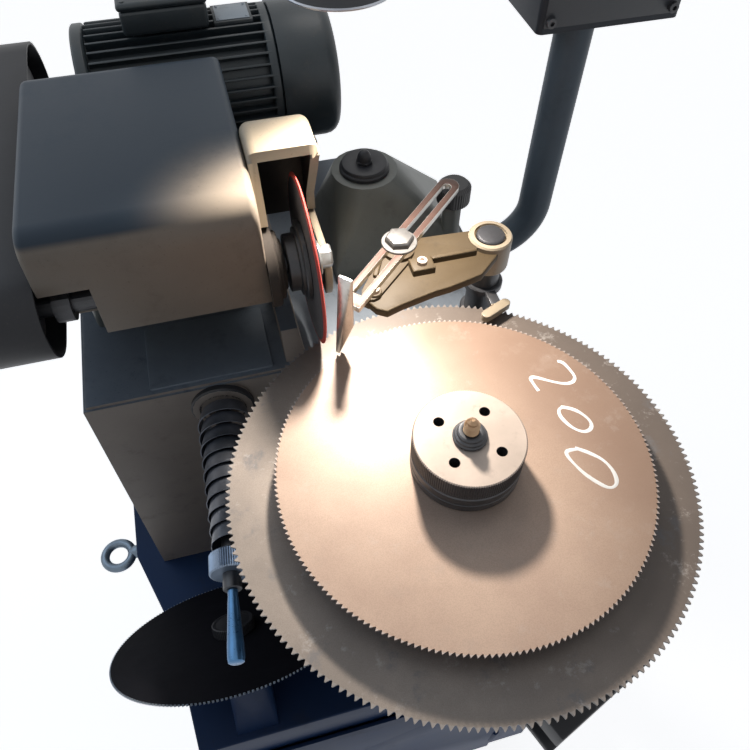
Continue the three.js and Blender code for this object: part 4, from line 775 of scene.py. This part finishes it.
motorAxis = (531.975, 82)
motorCentre = at(0, *motorAxis)
motor = {"left": -262, "right": -57, "radius": 66, "fins": 40, "finHalf": 1.3, "finFoot": 60, "finTop": 75}
core = turnedPiece("motorCore", [(motor["radius"], 0), (motor["radius"], motor["right"] - motor["left"])],
                   at(motor["left"], *motorAxis), alongX, sides=80)
fin = boxPiece("fin", (motor["left"] + 8, motorAxis[0] - motor["finHalf"], motorAxis[1] + motor["finFoot"]),
               (motor["right"] - 3, motorAxis[0] + motor["finHalf"], motorAxis[1] + motor["finTop"]))
fins = copiesRound(softenEdges(fin, 0.7), motor["fins"], motorCentre, "X")
shield = turnedPiece("endShield", [
    (30, 1), (32, 0), (45, -2.4), (73, 0), (75, 2), (75, 11), (72, 13.5), (60, 14)],
    at(motor["left"] - 7, *motorAxis), alongX, sides=80)
frontRing = turnedPiece("frontRing", [(73, 0), (75, 1), (75, 9), (72, 11)],
                        at(motor["right"] - 11, *motorAxis), alongX, sides=80)
foot = {"left": -214.5, "right": -104.5, "aside": 47.5, "half": 15, "low": 0.8, "high": 34}
feet = [boxPiece("foot", (foot["left"], middle - foot["half"], foot["low"]),
                 (foot["right"], middle + foot["half"], foot["high"]))
        for middle in (motorAxis[0] - foot["aside"], motorAxis[0] + foot["aside"])]
boxSeat = boxPiece("boxSeat", (-204, 517, 143), (-132, 563, 157))
platePad = boxPiece("platePad", (-118, 512, 150), (-76, 552, 157.2))
for part in (core, shield, frontRing):
    softenEdges(part, 0.6)
for part in feet:
    softenEdges(part, 3, 3)
motorBody = joinPieces("motorBody", core, fins, shield, frontRing, *feet, softenEdges(boxSeat, 2),
                       softenEdges(platePad, 0.8))
seat(motorBody, "head", "motor_paint", paints["motor"], "motor_body")
plate = boxPiece("motorPlate", (-115, 515, 157.2), (-79, 549, 158))
rivet = turnedPiece("rivet", [(1.4, 0), (1.3, 0.5), (0.8, 0.9)], at(-112, 518, 158), sides=16)
rivets = copiesAt(rivet, [(30, 0, 0), (0, 28, 0), (30, 28, 0)])
seat(joinPieces("motorPlate", softenEdges(plate, 0.2), softenEdges(rivets)), "head", "motor_paint",
     paints["dataPlate"])

fanProfile = [(66, 0), (77, 0), (77, 50), (76, 56), (73.2, 61), (69, 64.6), (63, 66)]
fan = turnedPiece("fanCover", fanProfile, at(-56.7, *motorAxis), alongX, sides=96)
slot = boxPiece("slot", (4, motorAxis[0] - 2, motorAxis[1] + 22), (14, motorAxis[0] + 2, motorAxis[1] + 54))
carve(fan, copiesRound(slot, 20, motorCentre, "X"))
seat(softenEdges(fan, 0.5, sharp=40), "head", "motor_paint", paints["motor"], "fan_cover")

terminal = {"low": (-213.7, 500.9, 157.3), "high": (-121.7, 578.9, 191.3), "inset": 7}
(x0, y0, z0), (x1, y1, z1), inset = terminal.values()
boxBody = boxPiece("terminalBody", (x0 + 1.5, y0 + 1.5, z0), (x1 - 1.5, y1 - 1.5, z1 - 8.4))
boxLid = boxPiece("terminalLid", (x0, y0, z1 - 8), (x1, y1, z1))
lidScrew = turnedPiece("lidScrew", [(2.6, 0), (2.6, 0.9), (2.0, 1.4)], at(x0 + inset, y0 + inset, z1 - 0.4),
                       sides=20)
stepX, stepY = x1 - x0 - inset * 2, y1 - y0 - inset * 2
lidScrews = copiesAt(softenEdges(lidScrew), [(stepX, 0, 0), (0, stepY, 0), (stepX, stepY, 0)])
gland = turnedPiece("gland", [(8, 0), (8, 5), (6.5, 6), (6.5, 10)], at(x0 + 40, y1 - 1, z0 + 13), (-90, 0, 0),
                    sides=24)
terminalBox = joinPieces("terminalBox", softenEdges(boxBody, 4, 4), softenEdges(boxLid, 3.5, 4), lidScrews,
                         softenEdges(gland, 0.4))
seat(terminalBox, "head", "motor_paint", paints["motor"], "terminal_box")
print("motor made")


# Bed, cover plate, saddle parts, guide

bed = twoFinishes(fromSolid("bed_casting", 2.6, 4), paints["bed"], paints["bedTop"],
                  lambda face: face.normal.z > 0.9)
seat(bed, "base", "cast_paint", None, "bed_casting")
for plain in (
        ("bed_cover_plate", 0.8, 2, "base", "grey_green_paint", paints["plate"]),
        ("base_cabinet", 2.4, 4, "base", "cabinet_paint", paints["blue"]),
        ("base_door", 1.2, 3, "door", "cabinet_paint", paints["blue"]),
        ("door_latch", 1, 3, "latch", "black_paint", paints["black"]),
        ("radial_guide", 1.6, 3, "base", "guide_iron", paints["black"]),
        ("blade_carriage", 1.4, 3, "carriage", "guide_iron", steels["iron"]),
        ("slide_knee", 4, 4, "base", "cast_paint", paints["bed"]),
        ("switchgear_plate", 1, 2, "base", "bright_steel", steels["bright"]),
        ("belt_cover", 1, 3, "head", "black_paint", paints["black"])):
    seatSolid(*plain)
rest = twoFinishes(fromSolid("blade_rest", 0.8, 2), paints["black"], paints["blue"],
                   lambda face: face.center.z < at(0, 0, -315).z)
seat(rest, "base", "dark_steel", None, "blade_rest")
print("base and bed made")


# Infeed screw: collar, wound strip cover, knurled dial and grip, all on one slanting axis

screwFrame = Matrix.Translation(at(-190, 184, -73)) @ Matrix.Rotation(math.radians(-5.5), 4, "Z")
screwFrame = screwFrame @ Matrix.Rotation(math.radians(90), 4, "X")


def onScrew(piece):
    piece.data.transform(screwFrame)
    return piece


winding = {"start": 8.3, "length": 160.4, "turns": 10, "bigRadius": 28, "smallRadius": 17, "strip": 15,
           "lean": 5, "thickness": 1.1, "steps": 40}


def windingStrip(name, size):
    piece = startPiece(name, bpy.ops.mesh.primitive_plane_add, size=1)
    piece.scale = (size["thickness"] * mm, size["strip"] * mm, 1)
    settle(piece, Vector((size["bigRadius"] * mm, 0, 0)), toFront)
    settle(piece, Vector((0, 0, (size["start"] + size["strip"] / 2) * mm)))
    # The strip's near edge leans in under the turn before it
    openMesh(piece, "VERT", lambda vertex: vertex.co.z < (size["start"] + 1) * mm)
    bpy.ops.transform.translate(value=(-size["lean"] * mm, 0, 0))
    pitch = (size["length"] - size["strip"]) / size["turns"]
    useModifier(closeMesh(piece), "SCREW", angle=math.tau, screw_offset=pitch * mm, iterations=size["turns"],
                axis="Z", steps=size["steps"], render_steps=size["steps"], use_merge_vertices=True,
                use_smooth_shade=True)
    return useModifier(faceOutwards(piece), "SIMPLE_DEFORM", deform_method="TAPER", deform_axis="Z",
                       factor=size["smallRadius"] / size["bigRadius"] - 1)


cover = twoFinishes(windingStrip("spiralCover", winding), steels["spring"], steels["edge"],
                    lambda face: abs(face.normal.z) > 0.85)
seat(softenEdges(onScrew(cover), smooth=30), "base", "dark_steel", None, "spiral_cover")
collarRing = onScrew(turnedPiece("screwCollar", [
    (22, 0), (31.5, 0), (32.5, 1), (32.5, 6), (31, 7.6), (24, 8), (22, 8), (22, 0)], sides=72))
seat(softenEdges(collarRing), "base", "dark_steel", paints["black"])
screwRod = onScrew(turnedPiece("infeedScrew", [(7.6, -139), (8.3, -138), (8.3, 202), (7.6, 202.7)], sides=40))
seat(softenEdges(screwRod), "screw", "bright_steel", steels["dark"], "infeed_screw")
dialSize = {"radius": 20, "height": 19, "bore": 8.6, "knurls": 60, "depth": 0.8, "chamfer": 1.2}
dial = onScrew(knurledPiece("infeedDial", dialSize, Vector((0, 0, 169 * mm))))
seat(dial, "screw", "dark_steel", steels["dial"], "infeed_dial")
grip = onScrew(turnedPiece("infeedGrip", [
    (4.6, 203.3), (4.4, 208), (4.8, 212), (7.3, 252), (7.4, 261), (6.8, 264.4), (5.4, 265.3)], sides=40))
seat(softenEdges(grip), "screw", "bright_steel", steels["grip"], "infeed_grip")
print("infeed made")


# Feed: tapered housing with a cap and dome nut, knob, post, rocking lever, slotted bar, pawl

seatSolid("feed_housing", 5, 5, "base", "grey_green_paint", paints["greyGreen"], smooth=50)
capPlace = at(7, 355, 60)
cap = turnedPiece("feedCap", [
    (27, 0), (27, 3.4), (26, 4.6), (25.4, 5), (25, 7.4), (24, 8.6), (22.4, 9), (13, 9), (11, 8.2)],
    capPlace, sides=72)
domeBase = turnedPiece("domeBase", [(9, 7), (9, 10.6), (8.4, 11.2)], capPlace, sides=6)
dome = turnedPiece("dome", [(7.6, 10.8), (7.6, 13.6), (7, 17), (5.6, 19.8), (3.6, 21.9), (1.2, 22.9)],
                   capPlace, sides=32)
feedCap = joinPieces("feedCap", softenEdges(cap), softenEdges(domeBase, 0.3), softenEdges(dome, smooth=60))
seat(feedCap, "base", "black_paint", paints["black"], "feed_cap")
knobSize = {"radius": 18, "height": 26, "knurls": 40, "depth": 0.5, "chamfer": 4}
seat(knurledPiece("strokeKnob", knobSize, at(92, 303, 37.6)), "stroke_knob", "black_plastic",
     plastics["knobPlastic"], "stroke_knob")
seatTurned("pivot_post", "base", "dark_steel", steels["dark"], [
    (19, -40), (20, -39), (20, -27), (19, -26), (15.6, -26), (15.6, 34.6), (8.4, 35.2), (8.4, 69),
    (7.6, 69.4)], at(95, 208, 0), sides=48)
seatTurned("pivot_cap", "lever", "dark_steel", steels["iron"], [(14, 0), (14, 2.4), (13, 3.6), (11.6, 4)],
           at(95, 208, 69.7), sides=56)


def socketScrew(name, place, turn=(0, 0, 0)):
    screw = turnedPiece(name, [(5, 0), (5, 3.6), (4.5, 4.2)], sides=28)
    carve(screw, turnedPiece("socket", [(2.4, 1.6), (2.4, 6)], sides=6))
    return settle(softenEdges(screw), place, turn)


lever = fromSolid("feed_lever", 1.6, 3)
webCorners = [(78, 222), (60, 208), (28, 199), (3, 212), (-18, 204), (-30, 184), (-40, 170), (-41, 158),
              (-36, 148), (-27, 142), (-12, 147), (22, 155), (38, 157), (71, 165), (97, 188)]
web = platePiece("leverWeb", webCorners, 57.2, 66)
screwLug = settle(boxPiece("screwLug", (-11, -9, 61), (11, 9, 73.2)), Vector((18.6, 186.5, 0)) * mm)
fins = [boxPiece("fin", (30, 190, 62), (75, 194.5, 72.6)),
        platePiece("fin", [(-19, 206), (-15, 203), (-26, 180), (-30, 183)], 62, 73.4)]
bossRing = turnedPiece("bossRing", [
    (16, 0), (19.4, 0), (21, 1.6), (21.4, 4), (21.4, 35), (20, 36.7), (16, 36.9), (16, 0)],
    at(95, 208, 35.7))
endLug = turnedPiece("endLug", [(7, 0), (7, 5), (6.2, 6)], at(-33.6, 164, 66), sides=40)
leverScrews = [socketScrew("screw", place) for place in (at(18.6, 186.5, 73.2), at(-33.6, 164, 71.8))]
leverParts = [softenEdges(part, 1.4, 3) for part in (web, screwLug, *fins)]
lever = joinPieces("feedLever", lever, *leverParts, softenEdges(bossRing), softenEdges(endLug))
twoFinishes(lever, paints["lever"], paints["cream"],
            lambda face: (face.center - at(95, 208, 0)).xy.length < 24 * mm)
seat(lever, "lever", "cast_paint", None, "feed_lever")
leverScrews = seat(joinPieces("leverScrews", *leverScrews), "lever", "cast_paint", steels["flange"])

bar = fromSolid("slotted_bar", 0.7, 2)
addFinishes(bar, steels["bright"], steels["copper"])
openMesh(bar, "FACE", lambda face: face.normal.z > 0.95)
bar.active_material_index = 1
bpy.ops.object.material_slot_assign()
seat(closeMesh(bar), "bar", "copper_steel", None, "slotted_bar")

boltPlace = at(3, 210, 74.3)
barShank = turnedPiece("barShank", [(3.9, 0), (3.9, 8)], boltPlace, sides=24)
barWasher = turnedPiece("barWasher", [(16.4, 6.3), (17, 6.9), (17, 8.3), (16.4, 8.8)], boltPlace, sides=56)
barHead = hexHead("barHead", 24, 6.6, boltPlace + Vector((0, 0, 8.8 * mm)), (0, 0, 20))
barBolt = joinPieces("barBolt", softenEdges(barShank), softenEdges(barWasher), barHead)
seat(barBolt, "lever", "bright_steel", steels["bolt"], "bar_bolt")
for piece in (lever, leverScrews, bar, barBolt):  # the photograph shows no shadow of theirs on the blade
    piece.visible_shadow = False
seatSolid("pawl_finger", 0.4, 2, "pawl", "bright_steel", steels["bright"])
steadyRing = turnedPiece("steadyRing", [(15.9, 0), (19, 0), (20, 1), (20, 7), (19, 8), (15.9, 8), (15.9, 0)],
                         at(95, 208, 6), sides=48)
steadyNeck = boxPiece("steadyNeck", (90, 171, 6.4), (101, 190, 13.4))
steadyArm = {"centre": at(93, 165.5, 0), "turn": 23.5, "half": 13, "radius": 5}
halfRound = [(math.cos(a), math.sin(a)) for a in inRadians([-90 + 22.5 * i for i in range(9)])]
armEnds = [(side * (steadyArm["half"] + steadyArm["radius"] * x), side * steadyArm["radius"] * y)
           for side in (1, -1) for x, y in halfRound]
steadyBar = platePiece("steadyBar", armEnds, 6, 14, steadyArm["centre"], (0, 0, steadyArm["turn"]))
steady = joinPieces("bladeSteady", softenEdges(steadyRing), softenEdges(steadyNeck, 0.8),
                    softenEdges(steadyBar, 0.9, 3))
twoFinishes(steady, steels["dark"], paints["cream"], lambda face: face.center.y < at(0, 172.5, 0).y)
seat(steady, "base", "cast_paint", None, "blade_steady")
print("feed made")


# Control tube, box, buttons and lamp

tube = {"x": 218, "y": 348, "low": -80, "bend": 58, "top": 199.7, "start": 122.4, "radius": 19}
bend = [((1 - math.sin(a)) * tube["bend"], (1 - math.cos(a)) * tube["bend"])
        for a in inRadians([4.5 * i for i in range(21)])]
arc = [(tube["x"] - x, tube["y"], tube["low"] + z) for x, z in bend]
tubeLine = [(tube["start"], tube["y"], tube["low"]), *arc, (tube["x"], tube["y"], tube["top"])]
controlTube = tubePiece("controlTube", tubeLine, tube["radius"], 14)
seat(softenEdges(controlTube, smooth=40), "base", "tube_paint", paints["tube"], "control_tube")

seatSolid("control_box", 2, 3, "control_box", "box_paint", paints["box"])
facePlate = softenEdges(boxPiece("facePlate", (172, 324.2, 206), (310, 325.2, 344)), 0.4)
faceHoles = [turnedPiece("faceHole", [(radius, -6), (radius, 6)], at(x, 325, 295), toFront, sides=32)
             for x, radius in ((205, 9.6), (275, 10.6))]
carve(facePlate, *faceHoles)
seat(softenEdges(facePlate), "control_box", "box_paint", paints["darkBox"])
window = softenEdges(boxPiece("boxWindow", (222, 323.6, 316), (258, 324.6, 334)), 0.3)
seat(window, "control_box", "box_paint", plastics["windowPlastic"])
boxScrew = socketScrew("boxScrews", at(178, 324.4, 212), toFront)
boxScrews = copiesAt(boxScrew, [(126, 0, 0), (0, 0, 126), (126, 0, 126)])
seat(boxScrews, "control_box", "bright_steel", steels["dark"])
seatTurned("start_button", "start_button", "green_plastic", plastics["startPlastic"],
           [(9, -8), (9, 6.8), (7.8, 8)], at(205, 325, 295), toFront, sides=40)
stopButton = turnedPiece("stopButton", [
    (10, -14), (10, 5.3), (17, 5.8), (18, 6.6), (18, 12), (16.4, 16.6), (12, 19)], at(275, 325, 295), toFront,
    sides=48)
seat(softenEdges(stopButton), "emergency_stop", "red_plastic", plastics["stopPlastic"], "emergency_stop")

shadePlace = at(-38, 256, 300)
shade = turnedPiece("lampShade", [
    (42, 0), (44, 0), (44.6, 1.2), (44, 2.4), (44, 14), (17, 42), (17, 53), (15.7, 59.5), (12, 65),
    (6.5, 68.7), (1, 70), (1, 66), (11, 50), (15, 40), (42, 12.6), (42, 0)], shadePlace, sides=72)
twoFinishes(softenEdges(shade), paints["darkBox"], steels["edge"],
            lambda face: face.center.z < at(0, 0, 302.5).z)
seat(shade, "lamp_shade", "grey_green_paint", None, "lamp_shade")
armStart, armEnd = Vector((166.7, 365, 332)), Vector((-38, 256, 376.3))
armBend = armStart - Vector((12, 0, 0))
armTop = (armBend + armEnd) / 2 + Vector((0, 0, 36))
armLine = [armStart, (armStart + armBend) / 2]
for t in [i / 24 for i in range(25)]:
    armLine.append(armBend * (1 - t) ** 2 + armTop * 2 * t * (1 - t) + armEnd * t ** 2)
lampArm = tubePiece("lampArm", armLine, 6, 8)
seat(softenEdges(lampArm, smooth=40), "lamp_arm", "black_paint", paints["black"], "lamp_arm")
print("controls and lamp made")


# Eye bolt and the spare blade's nut

eyePlace = at(-385.1, 216, -414)
eye = settle(startPiece("eye", bpy.ops.mesh.primitive_torus_add, major_radius=18.5 * mm,
                        minor_radius=6 * mm, major_segments=56, minor_segments=20), eyePlace)
eyeNeck = turnedPiece("eyeNeck", [(6.5, 16), (8, 20), (9, 22), (9, 26.4)], eyePlace, alongX, sides=32)
eyeBolt = joinPieces("eyeBolt", softenEdges(eye), softenEdges(eyeNeck))
seat(eyeBolt, "base", "bright_steel", steels["eye"], "eye_bolt")
spareNutSize = {"radius": 24, "height": 12, "bore": 19.8, "knurls": 60, "depth": 0.7, "chamfer": 1}
seat(knurledPiece("spareNut", spareNutSize, spareSeat + spareUp * 0.0023, spareTurn), "base", "dark_steel",
     paints["black"], "spare_blade_nut")
print("fittings made")


# Solids whose shape is right keep it and get a finish

plainSolids = {
    # the spindle and its bearings take the dark steel: painted shade round the hub
    "spindle": steels["dark"], "spindle_bearing_left": steels["dark"],
    "spindle_bearing_right": steels["dark"], "motor_shaft": steels["bright"],
    "spindle_pulley": steels["iron"], "motor_pulley": steels["iron"], "drive_belt": plastics["beltRubber"],
}
for node, look in plainSolids.items():
    addFinishes(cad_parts[node], look)
